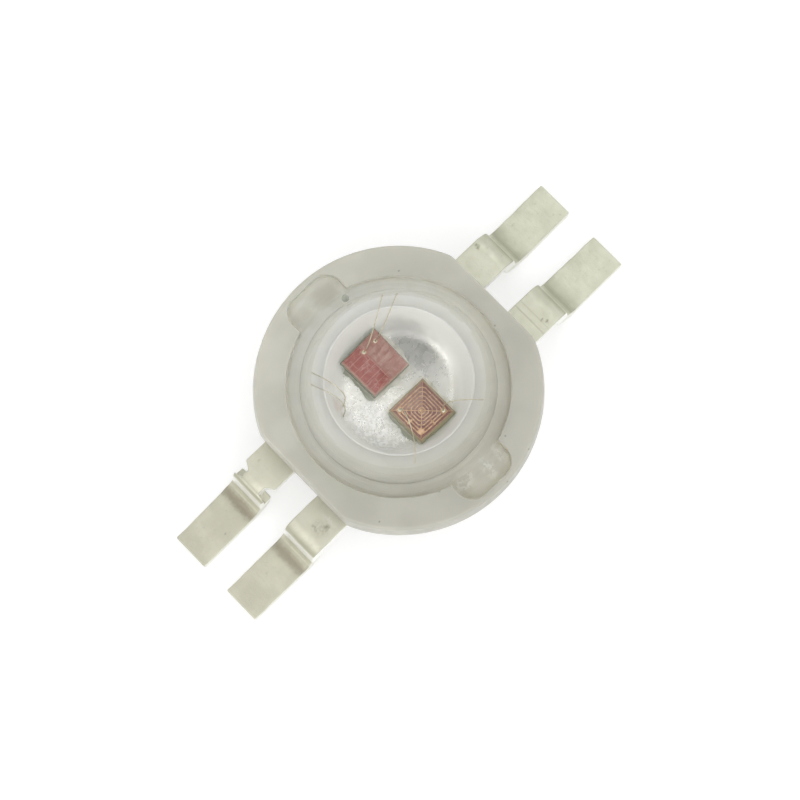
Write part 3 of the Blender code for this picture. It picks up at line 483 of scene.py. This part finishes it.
def optic_rings():
    """One clear body of lens and fill, from inside the slug up over the ears and the flange to the top."""
    def ears(inset):
        """Outline of the flange with its ears, drawn in on the ears alone."""
        return lambda a: max(FLANGE_RADIUS, pocket_radius(a, -inset))

    rings = [[Vector((HOUSING_X, 0.0, OPTIC_BOTTOM))]]
    rings.append(ring(lambda a: OPTIC_FOOT, OPTIC_BOTTOM))
    rings.append(ring(lambda a: OPTIC_FOOT, POCKET_FLOOR - 0.01))
    lit_under_optic = [(0.01, POCKET_FLOOR - 0.01), (0.034, BODY_TOP - 0.001), (-0.03, FILL_TOP)]
    rings += [ring(lambda a: pocket_radius(a, grow), z) for grow, z in lit_under_optic]
    rings += [ring(ears(CLEARANCE + edge), z) for edge, z in zip(EAR_EDGE, (FILL_TOP, EAR_TOP))]
    rings.append(ring(lambda a: min(FLANGE_RADIUS + EAR_ROOT[0], ears(EAR_ROOT[1])(a)), EAR_TOP))
    rings.append(ring(lambda a: FLANGE_RADIUS, EAR_TOP + 0.01))
    top = FLANGE_TOP + BEAD_RISE
    start = math.asin((top - DOME_CENTRE) / DOME_RADIUS)
    foot = DOME_RADIUS * math.cos(start)
    turn = math.pi / 2 - start - FOOT_TURN
    turns = [start + FOOT_TURN + turn * n / DOME_STEPS for n in range(DOME_STEPS)]
    dome = [(DOME_RADIUS * math.cos(a), DOME_CENTRE + DOME_RADIUS * math.sin(a)) for a in turns]
    flange = fillet([
        (FLANGE_RADIUS, EAR_TOP + 0.01, 0.0),
        (FLANGE_RADIUS - FLANGE_SLOPE, FLANGE_TOP, FLANGE_ROUND),
        (BEAD_RADIUS - BEAD_SLOPE, top, BEAD_ROUND),
        (foot, top, FOOT_FILLET),
        (*dome[0], 0.0),
    ])[1:]
    for r, z in flange + [Vector(point) for point in dome[1:]]:
        rings.append(ring(lambda a: r, z))
    rings.append([Vector((HOUSING_X, 0.0, DOME_CENTRE + DOME_RADIUS))])
    return rings


def lead_line():
    """Corners (distance along X, height, radius) of the middle of a lead."""
    half = LEAD_THICK / 2
    post, leg = POST_TOP - half, LEG_FACE - half
    return fillet([
        (POST_INNER, post, 0.0),
        (JOGGLE_START, post, JOGGLE_RADIUS + half),
        (JOGGLE_END, EXIT_Z, JOGGLE_RADIUS + half),
        (leg, EXIT_Z, SHOULDER_RADIUS + half),
        (leg + LEG_SLANT, half, ANKLE_RADIUS + half),
        (LEAD_TIP, half, 0.0),
    ])


def stations():
    """Evenly spaced points along the middle line of a lead, with the way it heads and the distance run."""
    line = lead_line()
    found, run = [], 0.0
    for start, end in zip(line, line[1:]):
        length = (end - start).length
        if length < 1e-6:
            continue
        count = max(1, round(length / STATION))
        for n in range(count):
            found.append((start.lerp(end, n / count), run + length * n / count))
        run += length
    found.append((line[-1], run))
    points = [point for point, _ in found]
    ways = []
    for n in range(len(points)):
        ways.append((points[min(n + 1, len(points) - 1)] - points[max(n - 1, 0)]).normalized())
    return [(point, way, along) for (point, along), way in zip(found, ways)]


def section(shrink):
    """Rounded rectangle as (edge, distance in from it, rise): edge 1 is the outer one and 0 the inner."""
    r, half = EDGE_ROUND, LEAD_THICK / 2 - shrink
    points = []
    for n, (edge, rise) in enumerate(((1, 1), (0, 1), (0, -1), (1, -1))):
        for k in range(5):
            turn = math.radians(90 * n + 22.5 * k)
            inset = r - math.cos(turn) * r * (1 if edge else -1)
            points.append((edge, inset + shrink * PLAN_SHRINK, rise * (half - r) + math.sin(turn) * r))
        if n % 2:
            for k in range(1, SIDE_STEPS):
                points.append((edge, shrink * PLAN_SHRINK, rise * (half - r) * (1 - 2 * k / SIDE_STEPS)))
    return points


def ease(value, low, high):
    """0 up to low, 1 from high on, and a smooth rise between."""
    share = min(1.0, max(0.0, (value - low) / (high - low)))
    return share * share * (3 - 2 * share)


def lead_edges(key, x, z, along):
    """Inner and outer edge of a lead at a place seen from the side."""
    near, tip = LEAD_EDGES[key]
    share = ease(x, LEG_FACE, LEAD_TIP)
    outer = near[0] + (tip[0] - near[0]) * share
    inner = near[1] + (tip[1] - near[1]) * share
    seed = 10.0 * "abcd".index(key)
    outer += WOBBLE * noise.noise(Vector((along * 2.5, seed, 0.0)))
    inner += WOBBLE * noise.noise(Vector((along * 2.5, seed, 5.0)))
    if key == NOTCHED_LEAD:
        notch = ease(x, NOTCH_START, NOTCH_START + NOTCH_RAMP)
        notch *= ease(-x, -NOTCH_END - NOTCH_STEP, -NOTCH_END + NOTCH_STEP)
        notch *= ease(z, NOTCH_FOOT - 2 * NOTCH_STEP, NOTCH_FOOT + 2 * NOTCH_STEP)
        outer -= NOTCH_DEPTH * notch
        inner += NOTCH_DEPTH * notch
    return inner, outer


def lead_rings(key, side_x, side_y):
    """Sections along a lead, whose ends are rounded and whose inner end keeps clear of the slug."""
    rings = []
    path = stations()
    length = path[-1][2]
    for point, way, along in path:
        up = Vector((-way.y, way.x))
        rest = min(along, length - along, EDGE_ROUND)
        shrink = EDGE_ROUND - math.sqrt(EDGE_ROUND ** 2 - (EDGE_ROUND - rest) ** 2)
        ring = []
        for edge, inset, rise in section(shrink):
            x, z = point.x + up.x * rise, point.y + up.y * rise
            inner, outer = lead_edges(key, x, z, along)
            y = side_y * (outer - inset if edge else inner + inset)
            if x < POST_END:
                cut = side_x * SLUG_X + math.sqrt(max(0.0, POST_CUT ** 2 - (y - SLUG_Y) ** 2))
                begin = max(POST_INNER, cut)
                x = begin + (x - POST_INNER) * (POST_END - begin) / (POST_END - POST_INNER)
            ring.append(Vector((side_x * x, y, z)))
        rings.append(ring)
    return rings


# Materials

class Look:
    """A material's nodes, with short ways to add to them. Places and scales are in millimetres."""

    def __init__(self, name, **values):
        self.material = bpy.data.materials.new(name)
        self.material.use_nodes = True
        self.tree = self.material.node_tree
        self.shader = self.tree.nodes["Principled BSDF"]
        for word, value in values.items():
            self.set(word.replace("_", " "), value)
        place = self.node("ShaderNodeTexCoord").outputs["Object"]
        scaled = self.node("ShaderNodeVectorMath", {0: place, 3: 1 / METRE}, operation="SCALE")
        self.place = scaled.outputs[0]

    def node(self, kind, inputs=None, **settings):
        made = self.tree.nodes.new(kind)
        for word, value in settings.items():
            setattr(made, word, value)
        for key, value in (inputs or {}).items():
            self.feed(made.inputs[key], value)
        return made

    def feed(self, socket, value):
        if isinstance(value, bpy.types.NodeSocket):
            self.tree.links.new(value, socket)
        elif hasattr(socket.default_value, "__len__") and len(value) == 3 and len(socket.default_value) == 4:
            socket.default_value = (*value, 1.0)
        else:
            socket.default_value = value

    def set(self, word, value):
        self.feed(self.shader.inputs[word], value)

    def math(self, operation, a, b=0.0):
        return self.node("ShaderNodeMath", {0: a, 1: b}, operation=operation).outputs[0]

    def times(self, a, b):
        return self.math("MULTIPLY", a, b)

    def vector(self, operation, inputs):
        return self.node("ShaderNodeVectorMath", inputs, operation=operation).outputs[0]

    def length(self, way):
        return self.node("ShaderNodeVectorMath", {0: way}, operation="LENGTH").outputs["Value"]

    def parts(self, vector):
        """X, Y and Z of a vector."""
        return tuple(self.node("ShaderNodeSeparateXYZ", {0: vector}).outputs)

    def span(self, value, low, high, to_low=0.0, to_high=1.0):
        """A smooth rise or fall from one value to another, as the input goes from low to high."""
        inputs = {"Value": value, 1: low, 2: high, 3: to_low, 4: to_high}
        return self.node("ShaderNodeMapRange", inputs, interpolation_type="SMOOTHSTEP").outputs[0]

    def mix(self, share, a, b):
        made = self.node("ShaderNodeMix", data_type="RGBA")
        for socket, value in zip([s for s in made.inputs if s.enabled], (share, a, b)):
            self.feed(socket, value)
        return [s for s in made.outputs if s.enabled][0]

    def noise(self, scale, detail=3.0, rough=0.5, stretch=None, place=None):
        place = place or self.place
        if stretch:
            place = self.vector("MULTIPLY", {0: place, 1: stretch})
        inputs = {"Vector": place, "Scale": scale, "Detail": detail, "Roughness": rough}
        return self.node("ShaderNodeTexNoise", inputs).outputs["Fac"]

    def clouds(self, scale, detail=3.0, rough=0.5):
        """Noise spread over the whole range from 0 to 1."""
        return self.span(self.noise(scale, detail, rough), 0.35, 0.65)

    def uneven(self, scale, detail, low, high, rough=0.5):
        """Noise spread over a given range, for a roughness."""
        return self.span(self.noise(scale, detail, rough), 0.3, 0.7, low, high)

    def warped(self, amount, scale):
        """The place moved about by noise, so that what is drawn with it gets a wandering edge."""
        inputs = {"Vector": self.place, "Scale": scale, "Detail": 2.0}
        wander = self.node("ShaderNodeTexNoise", inputs).outputs["Color"]
        moved = self.vector("SCALE", {0: self.vector("SUBTRACT", {0: wander, 1: (0.5, 0.5, 0.5)}), 3: amount})
        return self.vector("ADD", {0: self.place, 1: moved})

    def spot(self, centre, size, fade=0.5, place=None):
        """1 inside an ellipsoid round a point, fading to 0 outside it."""
        gap = self.vector("SUBTRACT", {0: place or self.place, 1: centre})
        part = self.vector("DIVIDE", {0: gap, 1: size})
        return self.span(self.length(part), 1 - fade, 1 + fade, 1.0, 0.0)

    def stain(self, colour, spot, share, tint):
        """The colour with a share of a tint, where the spot is."""
        return self.mix(self.times(spot, share), colour, tint)

    def from_axis(self):
        """The place seen from the housing's axis, without its height."""
        moved = self.vector("SUBTRACT", {0: self.place, 1: (HOUSING_X, 0.0, 0.0)})
        return self.vector("MULTIPLY", {0: moved, 1: (1.0, 1.0, 0.0)})

    def under_optic(self):
        """1 in the pocket and the well, which the clear body covers, and 0 outside them."""
        flat = self.from_axis()
        corner = EAR_CORNER + CLEARANCE
        middle = (EAR_HALF + CLEARANCE - corner, EAR_REACH + CLEARANCE - corner, 0.0)
        past = self.vector("SUBTRACT", {0: self.vector("ABSOLUTE", {0: flat}), 1: middle})
        past = self.vector("MAXIMUM", {0: past, 1: (0.0, 0.0, 0.0)})
        flange = self.span(self.length(flat), POCKET_RADIUS, POCKET_RADIUS + POCKET_ROUND, 1.0, 0.0)
        ear = self.span(self.length(past), corner, corner + POCKET_ROUND, 1.0, 0.0)
        above = self.span(self.parts(self.place)[2], WELL_FLOOR - 0.15, WELL_FLOOR - 0.05)
        return self.times(self.math("MAXIMUM", flange, ear), above)

    def flank(self, top):
        """1 on the sides of a chip and 0 on its top."""
        return self.span(self.parts(self.place)[2], top - 0.02, top - 0.01, 1.0, 0.0)

    def scuffed(self, colour, tint):
        """The colour with pale streaks across it, on a chip."""
        for stretch in ((0.2, 1.0, 1.0), (1.0, 0.3, 1.0)):
            streak = self.noise(20.0, 3.0, 0.6, stretch, self.warped(0.3, 2.5))
            colour = self.mix(self.span(streak, 0.54, 0.68, 0.0, 0.4), colour, tint)
        return colour

    def bump(self, height, strength, depth):
        inputs = {"Height": height, "Strength": strength, "Distance": depth * METRE}
        self.set("Normal", self.node("ShaderNodeBump", inputs).outputs["Normal"])


def milky_look():
    """Translucent plastic, greener in patches, with painted light: lighter towards +Y and darker towards -Y.
    It is painted paler under the clear optic, which darkens it.
    """
    look = Look("milky_plastic", Subsurface_Weight=0.35, Subsurface_Scale=0.45 * METRE, IOR=1.5)
    look.set("Subsurface Radius", (1.0, 0.9, 0.7))
    # painted light and shade: the plastic is lighter towards +Y and darker towards -Y
    side = look.span(look.parts(look.place)[1], -3.5, 3.5)
    clouds = look.clouds(0.7, 2.0)
    dry = look.mix(side, *[look.mix(clouds, low, high) for low, high in MILKY])
    dry = look.mix(look.span(look.noise(5.0, 4.0, 0.6), 0.62, 0.78, 0.0, 0.14), dry, MILKY_STAIN_AND_SHADE)
    # painted shade of the leads inside the plastic, in the stain's colour
    dry = look.stain(dry, look.spot(*RIM_PATCH, 0.6, look.warped(0.3, 1.5)), 0.3, MILKY_STAIN_AND_SHADE)
    for x, y in RIM_SPECKS:
        dry = look.stain(dry, look.spot((x, y, BODY_TOP), SPECK_SIZE, 0.6), 0.6, SPECK)
    haze = look.clouds(1.8, 3.0)
    # painted light: paler plastic under the clear optic, against its shade
    lit_under_optic = look.mix(side, *[look.mix(haze, low, high) for low, high in UNDER_OPTIC_LIT])
    turned = look.node("ShaderNodeCombineXYZ", {0: look.length(look.from_axis()), 1: look.noise(0.5, 2.0)})
    rings = look.noise(6.0, 3.0, 0.6, place=turned.outputs[0])
    lit_under_optic = look.mix(look.span(rings, 0.42, 0.6, 0.0, 0.5), lit_under_optic, WET_RING)
    for place, size, share, tint in EAR_TONES_AND_GLINTS:
        ear_mark = look.spot((*place, 2.6), (*size, 0.4), 0.7, look.warped(0.25, 3.0))
        # painted glints: the pale marks are broken up by noise
        if tint == EAR_GLINT:
            ear_mark = look.times(ear_mark, look.span(look.noise(6.0, 4.0, 0.7), 0.46, 0.56))
        lit_under_optic = look.stain(lit_under_optic, ear_mark, share, tint)
    look.set("Base Color", look.mix(look.under_optic(), dry, lit_under_optic))
    look.set("Roughness", look.uneven(3.0, 4.0, 0.3, 0.5, 0.6))
    look.bump(look.noise(14.0, 5.0, 0.65), 0.2, 0.02)
    return look.material


def silver_look():
    """Satin silver plate, duller in places, matt on the cup's wall and painted paler there as painted light,
    frosted with painted glints on part of its floor.
    """
    look = Look("silver_plate")
    wall = look.span(look.parts(look.place)[2], CUP_FLOOR + 0.002, CUP_FLOOR + 0.07)
    colour = look.mix(look.clouds(1.1, 2.0), *SILVER)
    colour = look.mix(look.span(look.noise(11.0, 4.0, 0.65), 0.62, 0.75, 0.0, 0.2), colour, SILVER_SPOT)
    # painted light: the steep wall painted paler against its shade
    colour = look.mix(wall, colour, SILVER_WALL)
    # painted reflection and shade in the cup, with a pink tint
    for place, size, share, tint in CUP_TINT_AND_PAINTED_LIGHT:
        colour = look.stain(colour, look.spot(place, size, 0.55, look.warped(0.22, 4.0)), share, tint)
    # a frosted patch, rougher and grainier, whose pale speckled colour is a painted highlight with glints
    frost_and_glints = look.spot(*CUP_FROST_AND_GLINTS, 0.6)
    painted_glints = look.mix(look.span(look.noise(14.0, 5.0, 0.75), 0.44, 0.58), *GLINT_FLECKS)
    look.set("Base Color", look.stain(colour, frost_and_glints, 0.85, painted_glints))
    metal = look.span(frost_and_glints, 0.0, 1.0, 0.5, 0.8)
    look.set("Metallic", look.times(metal, look.span(wall, 0.0, 1.0, 1.0, 0.1)))
    look.set("Roughness", look.math("ADD", look.uneven(7.0, 4.0, 0.22, 0.36), look.times(wall, 0.3)))
    grain = look.times(look.span(frost_and_glints, 0.0, 1.0, 0.45, 2.4), look.span(wall, 0.0, 1.0, 1.0, 0.06))
    look.bump(look.times(look.noise(32.0, 5.0, 0.7), grain), 0.6, 0.016)
    return look.material


def tinned_look(name, low, high, near_share, spots):
    """Dull tin on a stamped strip, with grime, painted shade in the lower bend and on the shoulder, sheared
    sides painted paler, a painted highlight on the leg, specks and scratches.
    """
    look = Look(name, Metallic=0.6)
    x, _, z = look.parts(look.place)
    _, sideways, upwards = look.parts(look.node("ShaderNodeNewGeometry").outputs["Normal"])
    out = look.math("ABSOLUTE", x)
    colour = look.mix(look.clouds(1.6, 3.0), low, high)
    colour = look.mix(look.span(look.noise(9.0, 5.0, 0.6), 0.58, 0.75, 0.0, 0.3), colour, GRIME_AND_SHADE)
    # painted shade in the lower bend, where the foot starts
    ankle = look.times(look.span(out, 5.12, 5.22), look.span(out, 5.25, 5.75, 1.0, 0.0))
    colour = look.stain(colour, ankle, 0.55, GRIME_AND_SHADE)
    # painted light: paler near the housing, against the housing's shade
    colour = look.mix(look.span(out, 4.2, 5.0, near_share, 0.0), colour, NEAR_LIT)
    # painted shade on the shoulder's bend
    shoulder = look.times(look.span(upwards, 0.6, 0.85, 1.0, 0.0), look.span(z, 1.0, 1.1))
    colour = look.stain(colour, shoulder, 0.5, GRIME_AND_SHADE)
    for place, size, share, tint in spots:
        straight, wide = min(size) < 0.025, max(size) > 0.5
        spot = look.spot(place, size, 0.6, look.warped(0.004 if straight else 0.16, 9.0))
        if not (straight or wide):
            spot = look.times(spot, look.span(look.noise(16.0, 4.0, 0.7), 0.38, 0.6, 0.25, 1.0))
        colour = look.stain(colour, spot, share, tint)
    # painted light: faces turned sideways, the sheared sides, painted paler against their shade
    colour = look.mix(look.span(look.math("ABSOLUTE", sideways), 0.6, 0.95, 0.0, 0.85), colour, LIT_CUT_EDGE)
    # painted highlight: steep faces above the foot painted near white
    leg = look.times(look.span(upwards, 0.2, 0.5, 1.0, 0.0), look.span(z, 0.6, 0.75))
    look.set("Base Color", look.mix(leg, colour, BRIGHT_LEG))
    look.set("Roughness", look.uneven(6.0, 4.0, 0.42, 0.58))
    scratch = look.noise(3.0, 3.0, 0.6, (3.0, 1.0, 1.0))
    grain = look.math("ADD", look.noise(22.0, 4.0, 0.6), look.times(scratch, 1.5))
    look.bump(grain, 0.3, 0.015)
    return look.material


def clear_look():
    """Clear plastic and silicone, a little smeared and wavy low down."""
    look = Look("clear_optic", Transmission_Weight=1.0, IOR=OPTIC_IOR)
    look.set("Base Color", CLEAR)
    low = look.span(look.parts(look.place)[2], 3.3, 4.1, 1.0, 0.0)
    smear = look.span(look.noise(2.2, 3.0), 0.5, 0.75, 0.0, 0.1)
    look.set("Roughness", look.times(smear, low))
    wave = look.times(look.noise(4.5, 3.0), look.times(low, 0.5))
    look.bump(look.math("ADD", look.noise(1.3, 2.0), wave), 0.08, 0.03)
    return look.material


def plug_look():
    look = Look("dull_plug", Roughness=0.5)
    look.set("Base Color", look.mix(look.noise(9.0, 2.0), *PLUG))
    look.bump(look.noise(20.0, 3.0), 0.3, 0.01)
    return look.material


def middle_and_size(node):
    low, high = millimetres(node)
    return (low + high) / 2, high - low


def rose_look():
    """First chip: deep rose on the half towards -X, hazy on the other, with a dull green side."""
    middle, size = middle_and_size("die_1")
    look = Look("rose_chip", Roughness=0.32)
    x, y, _ = look.parts(look.place)
    deep = look.mix(look.clouds(9.0, 3.0), *ROSE)
    hazy = look.mix(look.clouds(7.0, 4.0, 0.6), *ROSE_HAZE)
    colour = look.mix(look.span(x, middle.x - 0.02, middle.x + 0.05), deep, hazy)
    colour = look.scuffed(colour, ROSE_SCUFF)
    lower = look.math("MINIMUM", look.math("SUBTRACT", x, middle.x), look.math("SUBTRACT", y, middle.y))
    border = look.span(lower, 0.035 - size.x / 2, 0.05 - size.x / 2, 0.6, 0.0)
    colour = look.mix(border, colour, ROSE_BORDER)
    look.set("Base Color", look.mix(look.flank(middle.z + size.z / 2), colour, ROSE_SIDE))
    look.bump(look.noise(40.0, 3.0), 0.2, 0.004)
    return look.material


def brown_look():
    """Second chip: red-brown, with a haze over the quarter towards +Y between the web's diagonals."""
    middle, size = middle_and_size("die_2")
    look = Look("brown_chip", Roughness=0.3)
    x, y, _ = look.parts(look.place)
    across = look.math("ABSOLUTE", look.math("SUBTRACT", x, middle.x))
    along = look.math("SUBTRACT", y, middle.y)
    quarter = look.span(look.math("SUBTRACT", along, across), -0.03, 0.05)
    haze = look.times(quarter, look.span(look.noise(7.0, 4.0, 0.6), 0.3, 0.6, 0.45, 0.9))
    colour = look.mix(haze, look.mix(look.clouds(9.0, 3.0), *BROWN), BROWN_HAZE)
    colour = look.scuffed(colour, BROWN_SCUFF)
    outer = look.math("MAXIMUM", across, look.math("ABSOLUTE", along))
    border = look.span(outer, size.x / 2 - 0.045, size.x / 2 - 0.03, 0.0, 0.7)
    colour = look.mix(border, colour, BROWN_BORDER)
    look.set("Base Color", look.mix(look.flank(middle.z + size.z / 2), colour, BROWN_SIDE))
    look.bump(look.noise(40.0, 3.0), 0.2, 0.004)
    return look.material


def net_look(name, colours, roughness):
    """Thin bright metal, for the chips' electrodes and the bond wires."""
    look = Look(name, Metallic=1.0)
    look.set("Base Color", look.mix(look.clouds(18.0, 2.0), *colours))
    look.set("Roughness", look.uneven(30.0, 2.0, roughness - 0.05, roughness + 0.1))
    look.bump(look.noise(50.0, 3.0), 0.3, 0.004)
    return look.material


def paste_look():
    """Silver-filled paste: close to the plate's own colour, painted grey-green on its -X fringe as painted
    shade at the chips' foot and a painted reflection of the dark chips.
    """
    look = Look("die_paste", Metallic=0.7)
    colour = look.mix(look.span(look.noise(5.0, 3.0), 0.5, 0.7, 0.0, 0.6), *PASTE)
    # painted shade and reflection: the paste's -X fringe by the chips
    shaded_fringe = look.span(look.parts(look.place)[0], SLUG_X - 0.46, SLUG_X - 0.38, 0.85, 0.0)
    look.set("Base Color", look.mix(shaded_fringe, colour, PASTE_SHADE))
    look.set("Roughness", look.uneven(15.0, 3.0, 0.4, 0.6))
    look.bump(look.noise(20.0, 3.0), 0.4, 0.01)
    return look.material


# Pieces

def shown(made, slot, *nodes):
    """The piece rides on the part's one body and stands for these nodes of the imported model."""
    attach(made, "root")
    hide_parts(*nodes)


def make_housing():
    made = loft("moulded_housing", housing_rings(), milky_look(), round_trip=True)
    shown(made, "milky_housing", "housing")


def make_slug():
    made = lathe("turned_slug", slug_profile(), silver_look(), 256, (SLUG_X, SLUG_Y))
    shown(made, "silver_plate", "heat_slug")


def make_optic():
    made = loft("dome_and_fill", optic_rings(), clear_look())
    shown(made, "clear_lens", "lens", "silicone_fill")
    centre = (HOUSING_X + HOLE_DISTANCE * math.cos(HOLE_ANGLE), HOLE_DISTANCE * math.sin(HOLE_ANGLE))
    profile = fillet([
        (0.0, FLANGE_TOP - 0.1, 0.0),
        (HOLE_RADIUS, FLANGE_TOP - 0.1, 0.0),
        (HOLE_RADIUS, FLANGE_TOP + 0.035, 0.02),
        (HOLE_RADIUS * 0.55, FLANGE_TOP + 0.012, 0.03),
        (0.0, FLANGE_TOP + 0.008, 0.0),
    ])
    plug = lathe("fill_hole_plug", profile, plug_look(), 40, centre)
    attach(plug, "root")


def make_leads():
    for key, sides in {"a": (1, 1), "b": (1, -1), "c": (-1, 1), "d": (-1, -1)}.items():
        # painted light: each side's leads take their own colours, the right ones lighter
        look = tinned_look("tinned_copper_" + key, *LEAD_COLOURS[sides[0]], LEAD_SPOTS[key])
        made = loft("stamped_lead_" + key, lead_rings(key, *sides), look)
        shown(made, "tinned_lead", "lead_" + key)


def dress(look, *nodes):
    """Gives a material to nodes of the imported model, which are shown as they are."""
    for name in nodes:
        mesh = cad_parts[name].data
        mesh.materials.clear()
        mesh.materials.append(look)


def make_chips():
    dress(rose_look(), "die_1")
    dress(brown_look(), "die_2")
    dress(net_look("pale_net", PALE_NET, 0.45), "die_1_electrode")
    dress(net_look("gold_net", GOLD_NET, 0.35), "die_2_electrode")
    dress(paste_look(), "die_attach_1", "die_attach_2")


def make_wires():
    """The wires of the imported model, drawn finer."""
    look = net_look("gold_wire", WIRE_GOLD, 0.35)
    for n in range(1, WIRE_COUNT + 1):
        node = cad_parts[f"bond_wire_{n}"]
        shape = bmesh.new()
        shape.from_mesh(node.data)
        bmesh.ops.transform(shape, matrix=node.matrix_world, verts=shape.verts)
        bmesh.ops.scale(shape, vec=(1 / METRE, 1 / METRE, 1 / METRE), verts=shape.verts)
        shape.normal_update()
        for point, way in [(v, v.normal.copy()) for v in shape.verts]:
            point.co -= way * WIRE_SLIM
        shown(piece(f"fine_wire_{n}", shape, look), "gold_wire", node.name)


# Surroundings

def picture_axes():
    """Level directions that run to the right and upwards in the picture."""
    return Vector((math.cos(TURN), -math.sin(TURN), 0.0)), Vector((math.sin(TURN), math.cos(TURN), 0.0))


def camera_axes():
    """The camera's right, its up, and the way from the object to it."""
    right, ahead = picture_axes()
    back = Vector((0.0, 0.0, math.cos(TILT))) - ahead * math.sin(TILT)
    return right, back.cross(right), back


def aim_point():
    """What the camera looks at, so that the housing's middle lies at its place in the picture."""
    right, up, _ = camera_axes()
    half = PICTURE / 2
    across, rise = (AIM_PIXEL[0] - half) * PIXEL, (half - AIM_PIXEL[1]) * PIXEL
    return Vector((HOUSING_X, 0.0, AIM_Z)) - right * across - up * rise


def make_camera():
    right, up, back = camera_axes()
    data = bpy.data.cameras.new("camera")
    data.sensor_width = 36.0
    data.lens = data.sensor_width / 2 / math.tan(FOV / 2)
    data.clip_start = 0.001
    camera = bpy.data.objects.new("camera", data)
    bpy.context.scene.collection.objects.link(camera)
    camera.matrix_world.col[0].xyz = right
    camera.matrix_world.col[1].xyz = up
    camera.matrix_world.col[2].xyz = back
    camera.location = (aim_point() + back * DISTANCE) * METRE
    camera.rotation_euler = camera.matrix_world.to_euler()
    bpy.context.scene.camera = camera


def picture_way(azimuth, height):
    """Direction of a light, by its angle in the picture from the right edge and its height over the floor."""
    turn, rise = math.radians(azimuth), math.radians(height)
    right, ahead = picture_axes()
    level = right * math.cos(turn) + ahead * math.sin(turn)
    return level * math.cos(rise) + Vector((0.0, 0.0, math.sin(rise)))


def make_world():
    """Even studio light from all round, stronger from above, with soft lamps and a dark camera overhead."""
    world = bpy.data.worlds.new("studio")
    world.use_nodes = True
    bpy.context.scene.world = world
    nodes, link = world.node_tree.nodes, world.node_tree.links.new
    nodes.clear()
    way = nodes.new("ShaderNodeTexCoord").outputs["Generated"]

    def ramp(value, low, high, to_low, to_high):
        made = nodes.new("ShaderNodeMapRange")
        made.interpolation_type = "SMOOTHSTEP"
        link(value, made.inputs["Value"])
        for key, number in {1: low, 2: high, 3: to_low, 4: to_high}.items():
            made.inputs[key].default_value = number
        return made.outputs[0]

    def join(operation, a, b):
        made = nodes.new("ShaderNodeMath")
        made.operation = operation
        link(a, made.inputs[0])
        link(b, made.inputs[1])
        return made.outputs[0]

    def lobe(light, inside, outside):
        made = nodes.new("ShaderNodeVectorMath")
        made.operation = "DOT_PRODUCT"
        link(way, made.inputs[0])
        made.inputs[1].default_value = picture_way(*light["way"])
        edge, core = (math.cos(math.radians(angle)) for angle in (light["edge"], light["core"]))
        return ramp(made.outputs["Value"], edge, core, outside, inside)

    height = nodes.new("ShaderNodeSeparateXYZ")
    link(way, height.inputs[0])
    total = join("ADD", ramp(height.outputs[2], *SKY_LOW), ramp(height.outputs[2], *SKY_HIGH))
    for lamp in LAMPS:
        total = join("ADD", total, lobe(lamp, lamp["strength"], 0.0))
    total = join("MULTIPLY", total, lobe(DARK_CAMERA, DARK_CAMERA["strength"], 1.0))
    soft = nodes.new("ShaderNodeBackground")
    link(total, soft.inputs["Strength"])
    soft.inputs["Color"].default_value = (1.0, 1.0, 1.0, 1.0)
    link(soft.outputs[0], nodes.new("ShaderNodeOutputWorld").inputs[0])


def make_floor():
    """White paper. The camera sees it part lit and part glowing, also through the clear body."""
    shape = bmesh.new()
    bmesh.ops.create_circle(shape, cap_ends=True, segments=96, radius=FLOOR_RADIUS)
    look = Look("floor", Roughness=0.9)
    look.set("Emission Color", (1.0, 1.0, 1.0))
    path = look.node("ShaderNodeLightPath").outputs
    seen = look.math("MAXIMUM", path["Is Camera Ray"], path["Is Glossy Ray"])
    seen = look.math("MAXIMUM", seen, path["Is Transmission Ray"])
    paper = look.mix(look.noise(0.02, 2.0), *PAPER)
    look.set("Base Color", look.mix(seen, paper, (FLOOR_SHADE, FLOOR_SHADE, FLOOR_SHADE)))
    look.set("Emission Strength", look.math("MULTIPLY", seen, FLOOR_GLOW))
    piece("floor", shape, look.material)


def main():
    make_housing()
    make_slug()
    make_optic()
    make_leads()
    make_chips()
    make_wires()
    make_floor()
    make_world()
    make_camera()
    bpy.context.scene.view_settings.view_transform = "Standard"


main()
